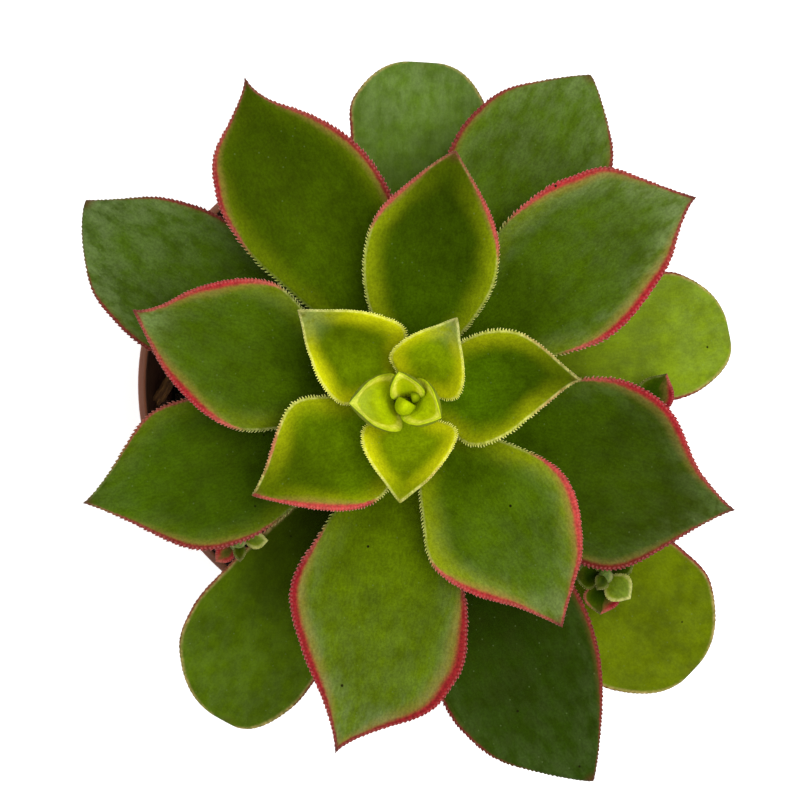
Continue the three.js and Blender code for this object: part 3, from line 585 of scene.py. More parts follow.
def leaf_material(name, look, finish):
    """Velvety leaf: green, halo, red margin, brown tip, specks, a paler underside and whitish teeth, with the
    painted sheen, highlight, light and shade of its layers, and on buds a dark underside at the edge as a
    painted shadow outline.
    """
    s = Shader(name)
    f = leaf_fields(s)
    color = leaf_green(s, f, look, finish)
    color = leaf_halo(s, f, color, look, finish)
    band, color = leaf_blush(s, f, color, look, finish)
    color = s.mix(s.ease(f.tip, *BROWN_REACH, 0.0, finish.tip), color, TIP_BROWN)
    color = leaf_details(s, f, color, finish)
    # The underside's colour; on buds its dark green reaches the edge: a painted shadow outline.
    below = s.times(s.attribute("under"), s.math("SUBTRACT", 1.0, band))
    below = s.times(below, s.ease(f.edge, 0.2, 0.8, finish.dip, 1.0))
    underside_green_and_shade = blend(UNDER_GREEN, DARK_GREEN, finish.tone)
    color = s.mix(s.times(below, UNDERSIDE_SHARE), color, underside_green_and_shade)
    teeth = s.ease(s.attribute("tooth"), 0.2, 1.0, 0.0, TOOTH_SHARE * (1 - finish.brown))
    # Teeth stay less pale where the margin has painted shade.
    teeth = s.times(teeth, s.ease(f.deep, 0.2, 1.0, 1.0, 0.3))
    color = s.mix(teeth, color, s.mix(s.ease(f.blush, 0.05, 0.35), CREAM, TOOTH_WHITE))
    normal = s.bump(f.velvet, 0.05, 0.5, s.bump(f.patches, 0.16, 0.6))
    roughness = s.ease(f.patches, 0.35, 0.65, 0.5, 0.62)
    return s.finish(color, roughness, normal, Specular_IOR_Level=0.06, Specular_Tint=(1.0, 1.0, 0.1, 1.0))


def pot_material():
    """Brown moulded plastic: a fine sheen with scuffs, dust near the foot and an inside darkened to
    near-black, which is painted shade.
    """
    s = Shader("pot_plastic")
    place = s.place()
    inside = s.attribute("inside")
    height = s.attribute("height_mm")
    cloud = s.noise(place, 0.05, 3, 0.5)
    scuffs = s.noise(s.stretched(place, (0.3, 0.3, 2.8)), 1.0, 5, 0.7)
    color = s.mix(s.ease(cloud, 0.3, 0.7), srgb(122, 68, 46), srgb(134, 77, 53))
    color = s.mix(s.ease(scuffs, 0.6, 0.8, 0.0, 0.3), color, srgb(176, 130, 104))
    dust = s.times(s.ease(s.noise(place, 0.4, 5, 0.7), 0.45, 0.75), s.ease(height, 24, 2, 0.08, 0.5))
    color = s.mix(dust, color, srgb(150, 126, 106))
    drops = s.noise(s.stretched(place, (0.5, 0.5, 0.07)), 1.0, 3, 0.6)
    splashes = s.times(s.ease(drops, 0.58, 0.72), s.ease(height, 50, 88, 0.0, 0.35))
    color = s.mix(splashes, color, srgb(84, 52, 40))
    # The inside walls near-black brown: painted shade.
    color = s.mix(s.times(inside, 0.9), color, srgb(34, 20, 15))
    normal = s.bump(s.noise(place, 1.1, 2, 0.5), 0.05, 0.5)
    return s.finish(color, s.ease(scuffs, 0.4, 0.75, 0.38, 0.55), normal, Specular_IOR_Level=0.4)


def soil_material():
    """Dark moist potting soil: near-black crumbs with browner fibres."""
    s = Shader("potting_soil")
    place = s.place()
    coarse = s.noise(place, 0.45, 6, 0.7)
    fine = s.noise(place, 2.4, 4, 0.7)
    color = s.mix(s.ease(coarse, 0.35, 0.7), srgb(26, 18, 12), srgb(58, 42, 28))
    color = s.mix(s.ease(fine, 0.6, 0.78, 0.0, 0.6), color, srgb(98, 70, 44))
    return s.finish(color, 0.92, s.bump(fine, 0.5, 0.8), Specular_IOR_Level=0.2)


def bark_material():
    """Composted bark: dark red-brown to amber, with long grain and lighter splits."""
    s = Shader("bark_chips")
    fibres = s.noise(s.stretched(s.attribute("grain", "Vector"), (0.25, 2.2, 1)), 1.0, 5, 0.65)
    color = s.mix(s.attribute("tone"), srgb(48, 26, 14), srgb(116, 72, 30))
    color = s.mix(s.ease(fibres, 0.45, 0.75, 0.0, 0.6), color, srgb(150, 104, 56))
    roughness = s.ease(fibres, 0.3, 0.7, 0.7, 0.9)
    return s.finish(color, roughness, s.bump(fibres, 0.3, 0.9), Specular_IOR_Level=0.25)


def stem_material():
    """Grey-brown woody stem with paler leaf scars and cracked bark, greener towards the leaves."""
    s = Shader("woody_stem")
    cracks = s.noise(s.stretched(s.place(), (1.3, 1.3, 0.45)), 1.0, 6, 0.7)
    color = s.mix(s.ease(cracks, 0.35, 0.7), srgb(74, 58, 40), srgb(134, 114, 84))
    color = s.mix(s.ease(s.attribute("scar"), 0.2, 0.8, 0.0, 0.7), color, srgb(160, 140, 104))
    green = s.ease(s.attribute("height_mm"), 104, 122, 0.0, 0.75)
    color = s.mix(green, color, srgb(122, 138, 62))
    return s.finish(color, 0.8, s.bump(cracks, 0.35, 0.9), Specular_IOR_Level=0.3)


def branch_material():
    """A side shoot's branch: olive-brown bark with paler rings, greener towards its rosette."""
    s = Shader("branch_bark")
    grit = s.noise(s.place(), 1.6, 4, 0.65)
    color = s.mix(s.attribute("along"), srgb(96, 84, 50), srgb(92, 112, 40))
    color = s.scaled(color, s.ease(grit, 0.3, 0.7, 0.75, 1.25))
    color = s.mix(s.ease(s.attribute("scar"), 0.2, 0.8, 0.0, 0.6), color, srgb(150, 146, 96))
    return s.finish(color, 0.75, s.bump(grit, 0.15, 0.8), Specular_IOR_Level=0.3)


def placed(name, data):
    """A new object in the scene."""
    made = bpy.data.objects.new(name, data)
    bpy.context.scene.collection.objects.link(made)
    return made


def shade_smooth(mesh):
    mesh.polygons.foreach_set("use_smooth", [True] * len(mesh.polygons))


def joined(shapes):
    """One shape from several."""
    faces = []
    offset = 0
    for shape in shapes:
        faces.extend([[index + offset for index in face] for face in shape.faces])
        offset += len(shape.points)
    values = {name: np.concatenate([shape.values[name] for shape in shapes]) for name in shapes[0].values}
    return Shape(np.concatenate([shape.points for shape in shapes]), faces, values)


def make_piece(name, shape, material, slot, *nodes):
    """A Blender mesh from a shape. It rides on the body and stands for the named nodes."""
    mesh = bpy.data.meshes.new(name)
    mesh.from_pydata((shape.points * MM).tolist(), [], shape.faces)
    shade_smooth(mesh)
    for value_name, values in shape.values.items():
        kind, field = ("FLOAT_VECTOR", "vector") if values.ndim == 2 else ("FLOAT", "value")
        attribute = mesh.attributes.new(value_name, kind, "POINT")
        attribute.data.foreach_set(field, values.astype(np.float32).ravel())
    mesh.materials.append(material)
    mesh.update()
    piece = placed(name, mesh)
    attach(piece, BODY)
    if nodes:
        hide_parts(*nodes)
    return piece


def ramp(value, low, high, least=0.0):
    """A straight slope from least, where value is at low, to 1, where it is at high, and level beyond."""
    return least + (1 - least) * np.clip((value - low) / (high - low), 0, 1)


def smooth_step(share):
    """A share from 0 to 1, eased at both ends."""
    return share * share * (3 - 2 * share)


def unit(vector):
    return vector / np.linalg.norm(vector)


def turn_about(axis, angle):
    """The matrix of a turn about an axis through the origin."""
    x, y, z = axis
    cross = np.array([[0, -z, y], [z, 0, -x], [-y, x, 0]])
    return np.eye(3) + math.sin(angle) * cross + (1 - math.cos(angle)) * (cross @ cross)


def turns_of(sides):
    """Even turns round a circle, in radians."""
    return np.arange(sides) * 2 * math.pi / sides


def ring_at(radius, height, turns):
    level = np.full(len(turns), float(height))
    return np.stack([radius * np.cos(turns), radius * np.sin(turns), level], axis=1)


def tube(rings, first_point=None, last_point=None):
    """Points and faces of a closed tube. Each end closes flat, or on the point given.

    The rings have equally many points, anticlockwise seen from where the rings go to.
    """
    sides = len(rings[0])
    top = (len(rings) - 1) * sides
    points = [*rings]
    faces = []
    for start in range(0, top, sides):
        for side in range(sides):
            a = start + side
            b = start + (side + 1) % sides
            faces.append([a, b, b + sides, a + sides])
    apex = top + sides
    for ring, point in (([*range(sides)][::-1], first_point), ([*range(top, apex)], last_point)):
        if point is None:
            faces.append(ring)
        else:
            faces.extend([apex, a, b] for a, b in zip(ring, ring[1:] + ring[:1]))
            points.append([point])
            apex += 1
    return np.concatenate(points), faces


def lathe(profile, sides):
    """Points and faces of a turned shape. The profile's (radius, height) pairs start and end on the axis."""
    turns = turns_of(sides)
    rings = [ring_at(radius, height, turns) for radius, height in profile[1:-1]]
    return tube(rings, (0, 0, profile[0][1]), (0, 0, profile[-1][1]))


def lump_template(subdivisions):
    """A round lump's points and faces, to be squeezed and roughened."""
    ball = bmesh.new()
    bmesh.ops.create_icosphere(ball, subdivisions=subdivisions, radius=1)
    points = np.array([vertex.co[:] for vertex in ball.verts])
    faces = [[vertex.index for vertex in face.verts] for face in ball.faces]
    ball.free()
    return points, faces


def roughness_of(points, depth, scale, shift):
    """A factor at each point that makes a lump uneven."""
    factors = [1 + depth * noise.noise(Vector(point * scale) + Vector(shift)) for point in points]
    return np.array(factors)[:, None]


def half_width(widths, closing, root_width, t):
    """Half-width at each t: a smooth curve through the widths, then a power curve to the tip."""
    ts = np.array([0.0, *WIDTH_STATIONS])
    ws = np.array([root_width, *widths])
    spans = np.diff(ts)
    pitch = np.diff(ws) / spans
    inner = (pitch[:-1] * spans[1:] + pitch[1:] * spans[:-1]) / (spans[1:] + spans[:-1])
    slopes = np.concatenate([[pitch[0]], inner, [-ws[-1] * closing / (1 - ts[-1])]])
    k = np.clip(np.searchsorted(ts, t, side="right") - 1, 0, len(ts) - 2)
    s = (t - ts[k]) / spans[k]
    curve = (
        (1 + 2 * s) * (1 - s) ** 2 * ws[k]
        + s * (1 - s) ** 2 * spans[k] * slopes[k]
        + smooth_step(s) * ws[k + 1]
        + s * s * (s - 1) * spans[k] * slopes[k + 1]
    )
    closed = ws[-1] * (np.clip(1 - t, 0, 1) / (1 - ts[-1])) ** closing
    return np.where(t >= ts[-1], closed, curve)


class LeafForm:
    """One leaf's form. t runs from root (0) to tip (1), v from the right margin (-1) to the left (1)."""

    def __init__(self, base, tip, left, right, close, kind, root_radius, seed):
        self.base = np.array(base, float)
        self.left, self.right, self.close = left, right, close
        self.root_radius = root_radius
        self.kind = KINDS[kind]
        self.rng = np.random.default_rng(seed)
        self.seed = seed
        run = np.array(tip[:2], float) - self.base[:2]
        self.reach = float(np.hypot(*run))
        self.rise = tip[2] - base[2]
        self.along = np.array([*(run / self.reach), 0.0])
        self.side = np.array([-self.along[1], self.along[0], 0.0])
        self.chord = math.hypot(self.reach, self.rise)
        self.root_width = min(ROOT_NARROWING * min(left[0], right[0]), ROOT_FILL * root_radius)
        self.wave_phase = self.rng.uniform(0, 2 * math.pi, 2)

    def midrib(self, t):
        bulge = self.kind.arch * 4 * t * (1 - t)
        outward = self.reach * t + self.root_radius * (1 - t) ** 3 - bulge * self.rise / self.chord
        return outward, self.base[2] + self.rise * t + bulge * self.reach / self.chord

    def width(self, t, v):
        left = half_width(self.left, self.close[0], self.root_width, t)
        right = half_width(self.right, self.close[1], self.root_width, t)
        return np.where(v > 0, left, right)

    def half_thickness(self, t, v):
        """Half the blade's thickness, rounded off close to the margin and the tip."""
        middle = self.kind.thick * (1 - THINNING * t)
        edge = self.kind.edge * (1 - EDGE_THINNING * t)
        full = np.maximum(THINNEST_BLADE, middle + (edge - middle) * v * v) / 2
        inside = np.minimum(self.width(t, v) * (1 - np.abs(v)), self.reach * (1 - t))
        share = np.clip(inside / (EDGE_ROUNDING * self.kind.edge), 0, 1)
        return full * np.sqrt(1 - (1 - share) ** 2)

    def relief(self, t, v):
        """How far the middle surface stands off the plain form: a fold on the midrib, waves at the margin."""
        fold = np.exp(-(v * self.width(t, v) / CREASE_WIDTH) ** 2)
        fold = fold * np.minimum(1, CREASE_ONSET * t) * (1 - t ** CREASE_FADE)
        phase = np.where(v > 0, *self.wave_phase)
        wave = np.abs(v) ** 3 * np.sin(WAVE_RADIANS * t + phase) * np.sin(math.pi * t)
        return self.kind.wave * wave - self.kind.crease * fold

    def point(self, t, v, lift=0.0):
        """Places on the leaf, lift millimetres above its middle surface."""
        t, v, lift = np.broadcast_arrays(*(np.asarray(given, float) for given in (t, v, lift)))
        outward, height = self.midrib(t)
        before, after = self.midrib(t - 0.001), self.midrib(t + 0.001)
        slope = np.arctan2(after[1] - before[1], after[0] - before[0])
        cup = self.kind.cup
        radius = self.width(t, v) / math.sin(cup)
        inner = radius - lift - self.relief(t, v)
        across = np.where(radius > 1e-6, inner * np.sin(cup * v), 0)
        up = radius - inner * np.cos(cup * v)
        level = np.multiply.outer(outward - np.sin(slope) * up, self.along)
        flat = self.base * (1, 1, 0) + level + np.multiply.outer(across, self.side)
        flat[..., 2] = height + np.cos(slope) * up
        return flat

    def rows(self, body_rows, tip_rows):
        """Fractions of the length, spaced so that the widths near the tip shrink in even steps."""
        power = max(1.0, 1 / min(self.close))
        fade = np.linspace(1, 0, tip_rows, endpoint=False) ** power
        last = WIDTH_STATIONS[-1]
        return np.concatenate([np.linspace(0, last, body_rows, endpoint=False), 1 - (1 - last) * fade])


def margin_line(form, hand, start=0.0):
    """Finely spaced points of one margin: fractions of the length, places and the distance run along it."""
    t = np.linspace(start, MARGIN_END, MARGIN_STEPS)
    places = form.point(t, hand)
    steps = np.linalg.norm(np.diff(places, axis=0), axis=1)
    return t, places, np.concatenate([[0], np.cumsum(steps)])


def blush_at(look, t, hand):
    """Width of the red margin, which swells from its start and narrows again at the tip."""
    side = 0 if hand > 0 else 1
    begin = look.start[side] - BLUSH_LEAD
    swell = smooth_step(ramp(t, begin, begin + BLUSH_SWELL))
    return BLUSH_SHARE * look.blush[side] * swell * ramp(t, *BLUSH_BY_RUN)


def leaf_values(count, **given):
    """The leaf material's values at some points: those given, and a plain skin's for the rest."""
    values = {}
    for name, plain in PLAIN_SKIN.items():
        values[name] = np.broadcast_to(given.get(name, plain), (count, *np.shape(plain))).astype(float)
    return values


def leaf_blade(form, look, grid=LEAF_GRID):
    """The blade as one closed skin of rings round the leaf, from the root to a point at the tip."""
    body_rows, tip_rows, columns = grid
    rows = form.rows(body_rows, tip_rows)
    across = np.sin(0.5 * math.pi * np.linspace(1, -1, columns + 1))
    ring_v = np.concatenate([across, across[-2:0:-1]])
    ring_up = np.concatenate([np.ones(columns + 1), -np.ones(columns - 1)])
    t = np.repeat(rows, len(ring_v))
    v = np.tile(ring_v, len(rows))
    up = np.tile(ring_up, len(rows))
    skin = form.point(t, v, up * form.half_thickness(t, v))
    tip = form.point(1.0, 0.0)
    points, faces = tube(skin.reshape(len(rows), len(ring_v), 3), last_point=tip)
    t, v, up = np.append(t, 1.0), np.append(v, 0.0), np.append(up, 1.0)

    middle = form.point(t, v)
    distance = np.full(len(t), np.inf)
    margin_run = np.zeros(len(t))
    for hand in (1, -1):
        _, places, run = margin_line(form, hand)
        gaps = np.linalg.norm(middle[:, None, :] - places[None, ::2, :], axis=2)
        closer = gaps.min(axis=1) < distance
        distance = np.where(closer, gaps.min(axis=1), distance)
        margin_run = np.where(closer, run[::2][gaps.argmin(axis=1)], margin_run)
    grain = np.stack([t * form.reach, v * form.width(t, v), np.full(len(t), GRAIN_STEP * form.seed)], axis=1)
    return Shape(points, faces, leaf_values(
        len(t), margin_mm=distance, blush_mm=np.where(v > 0, blush_at(look, t, 1), blush_at(look, t, -1)),
        run=t, deep=np.where(v > 0, *look.deep), under=up < 0, tip_mm=np.linalg.norm(points - tip, axis=1),
        bead_run=margin_run / form.kind.spacing, grain=grain,
    ))


def tooth_shape(form, look, t, hand, length):
    """One marginal tooth: a flattened cone that springs from the margin and curves towards the leaf's tip."""
    root = form.point(t, hand)
    forward = unit(form.point(t + 0.004, hand) - form.point(t - 0.004, hand))
    inward = form.point(t, 0.93 * hand) - root
    outward = unit((inward.dot(forward) * forward - inward) * TOOTH_LEVELLING)
    normal = np.cross(forward, outward)
    turns = turns_of(TOOTH_SIDES)[:, None]
    half_base = TOOTH_HALF_BASE * form.kind.spacing
    lean = form.kind.lean * form.rng.uniform(*TOOTH_LEANS) * length
    rings = []
    for share, width in TOOTH_RINGS:
        centre = root + outward * share * length + forward * lean * max(0, share) ** TOOTH_BEND
        ring = np.cos(turns) * forward + np.sin(turns) * normal * TOOTH_FLATNESS
        rings.append(centre + ring * half_base * width)
    points, faces = tube(rings, last_point=root + outward * length + forward * lean)
    if hand > 0:
        faces = [face[::-1] for face in faces]
    shares = [max(0, share) for share, _ in TOOTH_RINGS]
    return Shape(points, faces, leaf_values(
        len(points), margin_mm=0, blush_mm=blush_at(look, t, hand), run=t, tip_mm=form.reach * (1 - t),
        deep=look.deep[0 if hand > 0 else 1], tooth=np.append(np.repeat(shares, TOOTH_SIDES), 1.0),
        grain=(t * form.reach, hand * float(form.width(t, hand)), GRAIN_STEP * form.seed),
    ))


def leaf_teeth(form, look, start=TEETH_START):
    """Teeth all along both margins, evenly spaced with a little scatter."""
    teeth = []
    if not form.kind.tooth:
        return teeth
    spacing = form.kind.spacing
    for hand in (1, -1):
        t, _, run = margin_line(form, hand, start)
        for at in np.arange(0.4 * spacing, run[-1] - 0.5, spacing):
            at = at + form.rng.uniform(-TOOTH_SCATTER, TOOTH_SCATTER) * spacing
            where = float(np.interp(at, run, t))
            size = ramp(at, *TEETH_BY_ROOT) * ramp(run[-1] - at, *TEETH_BY_TIP)
            size *= ramp(blush_at(look, where, hand), *TEETH_BY_BLUSH) * ramp(where, *TEETH_BY_RUN)
            length = form.kind.tooth * size * form.rng.uniform(*TOOTH_LENGTHS)
            teeth.append(tooth_shape(form, look, where, hand, length))
    return teeth


def stem_centre(height):
    lean = smooth_step(ramp(height, SOIL_MIDDLE_TOP, CROWN_BOTTOM))
    foot = np.array(STEM_FOOT)
    return np.append(foot + (np.array(CROWN) - foot) * lean, height)


def stem_radius(height):
    return STEM_RADIUS + (STEM_TOP_RADIUS - STEM_RADIUS) * ramp(height, CROWN_BOTTOM, STEM_TOP)


def build_leaves():
    """The rosette's free leaves, oldest first."""
    for order, (name, kind, tip, left, right, close) in enumerate(LEAVES):
        height = FIRST_LEAF_Z + LEAF_RISE * order
        root_radius = LEAF_ROOT * stem_radius(height)
        form = LeafForm((*CROWN, height), tip, left, right, close, kind, root_radius, order)
        look, finish = LOOKS[name], FINISHES[kind]
        shape = joined([leaf_blade(form, look), *leaf_teeth(form, look)])
        material = leaf_material(f"leaf_{name}_skin", look, finish)
        make_piece(f"fine_leaf_{name}", shape, material, finish.slot, f"leaf_{name}")


def closed_bud(centre, length, width, height, bearing, dullness):
    """A bud leaf folded shut over the growing point: an egg with one flat face, which turns its bearing."""
    points, faces = lump_template(4)
    ahead = points[:, 0].copy()
    points[:, 1] *= 1 + BUD_WIDENING * np.clip(ahead, 0, BUD_FLAT)
    points[:, 0] = np.where(ahead > BUD_FLAT, BUD_FLAT + BUD_BULGE * (ahead - BUD_FLAT), ahead)
    turned = points * [length, width, height] @ turn_about((0, 0, 1), math.radians(bearing)).T
    return Shape(turned + centre, faces, leaf_values(len(points), under=dullness))


def build_heart():
    """The open bud leaf, the two closed buds and the growing point between them."""
    look = LOOKS["heart"]
    form = LeafForm((*CROWN, HEART_LEAF_Z), *HEART_LEAF, "bud", HEART_CORE_RADIUS, HEART_SEED)
    points, faces = lathe((
        (0, STEM_TOP),
        (HEART_CORE_RADIUS, STEM_TOP),
        (HEART_CORE_RADIUS, HEART_CORE_TOP - HEART_CORE_RADIUS),
        (0.6 * HEART_CORE_RADIUS, HEART_CORE_TOP - 0.3 * HEART_CORE_RADIUS),
        (0, HEART_CORE_TOP),
    ), HEART_CORE_SIDES)
    core = Shape(points + (*CROWN, 0), faces, leaf_values(len(points)))
    shape = joined([leaf_blade(form, look, HEART_GRID), *(closed_bud(*bud) for bud in CLOSED_BUDS), core])
    make_piece("fine_heart", shape, leaf_material("heart_skin", look, FINISHES["bud"]), "leaf_bud", "heart")


def smooth_path(points, count):
    """A smooth open curve through the points."""
    points = np.array(points, float)
    padded = np.vstack([2 * points[0] - points[1], points, 2 * points[-1] - points[-2]])
    path = []
    for k in np.linspace(0, len(points) - 1, count):
        i = min(int(k), len(points) - 2)
        s = k - i
        a, b, c, d = padded[i:i + 4]
        bend = (2 * a - 5 * b + 4 * c - d) * s * s + (3 * b - a - 3 * c + d) * s ** 3
        path.append(0.5 * (2 * b + (c - a) * s + bend))
    return np.array(path)


def branch_shape(path):
    """A round branch along a path, with slight rings where leaves have been shed."""
    turns = turns_of(SHOOT_SIDES)
    rings, scars = [], []
    for k, (centre, tangent) in enumerate(zip(path, np.gradient(path, axis=0))):
        first = unit(np.cross(tangent, [0.3, 1, 0.1]))
        second = np.cross(unit(tangent), first)
        scar = np.clip(np.sin(SHOOT_SCAR_STEP * k + 2 * np.cos(turns)), 0, 1) ** 4
        size = (SHOOT_RADIUS * (1 + SHOOT_SCAR_HEIGHT * scar))[:, None]
        rings.append(centre + size * (np.cos(turns)[:, None] * first + np.sin(turns)[:, None] * second))
        scars.append(scar)
    along = np.repeat(np.linspace(0, 1, len(rings)), SHOOT_SIDES)
    return Shape(*tube(rings), dict(scar=np.concatenate(scars), along=along))


def shoot_leaf(shoot, order, seed):
    """One leaf of a side shoot's rosette. The lowest has the shoot's own red margin."""
    bearing = math.radians(shoot.turn) + order * GOLDEN_ANGLE
    length = shoot.leaf * (1 - SHOOT_LEAF_SHRINK * order)
    if order == shoot.pale:
        length *= shoot.growth
    base = np.array(shoot.crown) + [0, 0, order * SHOOT_LEAF_RISE - SHOOT_LEAF_SINK]
    rise = SHOOT_TIP_RISE * shoot.leaf + SHOOT_TIP_STEP * order
    tip = base + [length * math.cos(bearing), length * math.sin(bearing), rise]
    widths = [share * length * shoot.broad for share in SHOOT_LEAF_WIDTHS]
    root_radius = SHOOT_LEAF_ROOT * SHOOT_RADIUS
    form = LeafForm(base, tip, widths, widths, SHOOT_LEAF_CLOSING, "small", root_radius, seed)
    look = LOOKS["shoot"]
    if order == 0:
        look = look._replace(blush=shoot.blush)
    return joined([leaf_blade(form, look, SHOOT_GRID), *leaf_teeth(form, look, SHOOT_TEETH_START)])


def build_shoots():
    """Side shoots: a thin branch from the stem and a small rosette at its end."""
    skin = leaf_material("shoot_skin", LOOKS["shoot"], FINISHES["small"])
    pale_skin = leaf_material("pale_shoot_skin", LOOKS["pale_shoot"], FINISHES["pale"])
    bark = branch_material()
    for number, (name, shoot) in enumerate(SHOOTS.items()):
        crown = np.array(shoot.crown)
        below, above = crown - [0, 0, SHOOT_BEND], crown + [0, 0, SHOOT_LEAVES * SHOOT_LEAF_RISE]
        path = smooth_path([stem_centre(shoot.start), shoot.middle, below, above], SHOOT_RINGS)
        make_piece(f"branch_{name}", branch_shape(path), bark, "woody_stem")
        first_seed = SHOOT_SEED + 10 * number
        leaves = [shoot_leaf(shoot, order, first_seed + order) for order in range(SHOOT_LEAVES)]
        if shoot.pale is not None:
            make_piece(f"pale_leaf_{name}", leaves.pop(shoot.pale), pale_skin, "shoot")
        make_piece(f"fine_{name}", joined(leaves), skin, "shoot", name)


def scar_relief(turn, height):
    """Height of the leaf scars on the bare stem at each turn and height."""
    relief = np.zeros_like(turn)
    scars = math.floor((CROWN_BOTTOM - SOIL_MIDDLE_TOP) / SCAR_SPACING) - 1
    for scar in range(scars):
        up = (height - (CROWN_BOTTOM - 3 - scar * SCAR_SPACING)) / SCAR_SIZE
        off_turn = (turn - scar * GOLDEN_ANGLE + math.pi) % (2 * math.pi) - math.pi
        round_stem = off_turn * STEM_RADIUS / (2 * SCAR_SIZE)
        relief = relief + np.exp(-(up * up + round_stem * round_stem))
    return relief


def build_stem():
    """The woody stem with its spiral of raised leaf scars."""
    turns = turns_of(STEM_SIDES)
    rings, scars = [], []
    heights = np.linspace(STEM_BOTTOM, STEM_TOP, STEM_RINGS)
    for height in heights:
        scar = scar_relief(turns, height)
        wrinkles = [noise.noise(Vector((6 * math.cos(a), 6 * math.sin(a), 0.35 * height))) for a in turns]
        radius = stem_radius(height) + SCAR_HEIGHT * scar + STEM_WRINKLE * np.array(wrinkles) - 0.1
        rings.append(stem_centre(height) + ring_at(radius, 0, turns))
        scars.append(scar)
    values = dict(scar=np.concatenate(scars), height_mm=np.repeat(heights, STEM_SIDES))
    make_piece("fine_stem", Shape(*tube(rings), values), stem_material(), "woody_stem", "stem")


def pot_outer(height):
    top = POT_RIM_RADIUS - RIM_BAND_STEP - RIM_FLARE
    return POT_BASE_RADIUS + (top - POT_BASE_RADIUS) * height / BAND_FOOT


def pot_inner(height):
    return pot_outer(height) - POT_WALL


def rounded(profile, radius, steps=4):
    """The profile with each corner replaced by a short arc-like curve."""
    result = [profile[0]]
    for corner_points in zip(profile, profile[1:], profile[2:]):
        before, corner, after = np.array(corner_points, float)
        start = corner + unit(before - corner) * min(radius, 0.45 * np.linalg.norm(corner - before))
        end = corner + unit(after - corner) * min(radius, 0.45 * np.linalg.norm(after - corner))
        for s in np.linspace(0, 1, steps):
            result.append(tuple((1 - s) ** 2 * start + 2 * s * (1 - s) * corner + s * s * end))
    result.append(profile[-1])
    return result


def build_pot():
    """The nursery pot: a turned body with rounded corners, a stepped rim band and holes cut in its groove."""
    band = pot_outer(BAND_FOOT) + RIM_BAND_STEP
    points, faces = lathe(rounded((
        (0, 0),
        (GROOVE_INNER_RADIUS, 0),
        (GROOVE_INNER_RADIUS + GROOVE_SLOPE, GROOVE_HEIGHT),
        (GROOVE_OUTER_RADIUS - GROOVE_SLOPE, GROOVE_HEIGHT),
        (GROOVE_OUTER_RADIUS, 0),
        (POT_BASE_RADIUS, 0),
        (pot_outer(BAND_FOOT), BAND_FOOT),
        (band, BAND_FOOT + RIM_ROUNDING),
        (POT_RIM_RADIUS, POT_HEIGHT),
        (POT_RIM_RADIUS - RIM_WIDTH, POT_HEIGHT),
        (band - POT_WALL, BAND_FOOT + POT_WALL),
        (pot_inner(BAND_FOOT - 1), BAND_FOOT - 1),
        (pot_inner(POT_FLOOR), POT_FLOOR),
        (GROOVE_OUTER_RADIUS + GROOVE_SLOPE, POT_FLOOR),
        (GROOVE_OUTER_RADIUS, GROOVE_TOP),
        (GROOVE_INNER_RADIUS, GROOVE_TOP),
        (GROOVE_INNER_RADIUS - GROOVE_SLOPE, POT_FLOOR),
        (0, POT_FLOOR),
    ), CORNER_ROUNDING), POT_SIDES)
    radius = np.hypot(points[:, 0], points[:, 1])
    height = points[:, 2]
    middle_of_wall = pot_outer(height) + np.where(height > BAND_FOOT, RIM_BAND_STEP, 0) - 0.5 * POT_WALL
    inside = (radius < middle_of_wall) & (height > POT_FLOOR - 0.1) & (height < POT_HEIGHT - 0.2)
    shape = Shape(points, faces, dict(inside=inside.astype(float), height_mm=height))
    cut_drains(make_piece("fine_pot", shape, pot_material(), "pot_plastic", "pot"))


def cut_drains(pot):
    """Cuts the ring of drain holes with one boolean."""
    drills = bmesh.new()
    radius = DRAIN_RADIUS * MM
    for turn in turns_of(DRAIN_HOLES) + math.pi / DRAIN_HOLES:
        made = bmesh.ops.create_cone(
            drills, cap_ends=True, segments=DRAIN_SIDES,
            radius1=radius, radius2=radius, depth=3 * GROOVE_TOP * MM,
        )
        centre = Vector((DRAIN_CIRCLE * math.cos(turn), DRAIN_CIRCLE * math.sin(turn), GROOVE_TOP / 2)) * MM
        bmesh.ops.translate(drills, verts=made["verts"], vec=centre)
    mesh = bpy.data.meshes.new("drills")
    drills.to_mesh(mesh)
    drills.free()
    cutter = placed("drills", mesh)
    cut = pot.modifiers.new("drains", "BOOLEAN")
    cut.operation = "DIFFERENCE"
    cut.object = cutter
    cut.solver = "EXACT"
    bpy.context.view_layer.update()
    shaped = bpy.data.meshes.new_from_object(pot.evaluated_get(bpy.context.evaluated_depsgraph_get()))
    pot.modifiers.clear()
    pot.data = shaped
    bpy.data.objects.remove(cutter)
    shade_smooth(shaped)


def soil_height(x, y, edge):
    """The soil's surface: a low dome with lumps, clods and crumbs."""
    inward = 1 - min(1.0, math.hypot(x, y) / edge)
    dome = SOIL_EDGE_TOP + (SOIL_MIDDLE_TOP - SOIL_EDGE_TOP) * math.sin(inward * math.pi / 2)
    lump = math.sin(0.31 * x + 1.3) * math.cos(0.27 * y - 0.4) + 0.5 * math.sin(0.73 * x - 0.61 * y + 0.8)
    clods = noise.fractal(Vector((0.16 * x, 0.16 * y, 3.1)), 0.7, 2.1, 5)
    crumbs = noise.fractal(Vector((0.55 * x, 0.55 * y, 8.7)), 0.8, 2.0, 3)
    return dome + LUMP_DEPTH * lump + CLOD_DEPTH * clods + CRUMB_DEPTH * crumbs


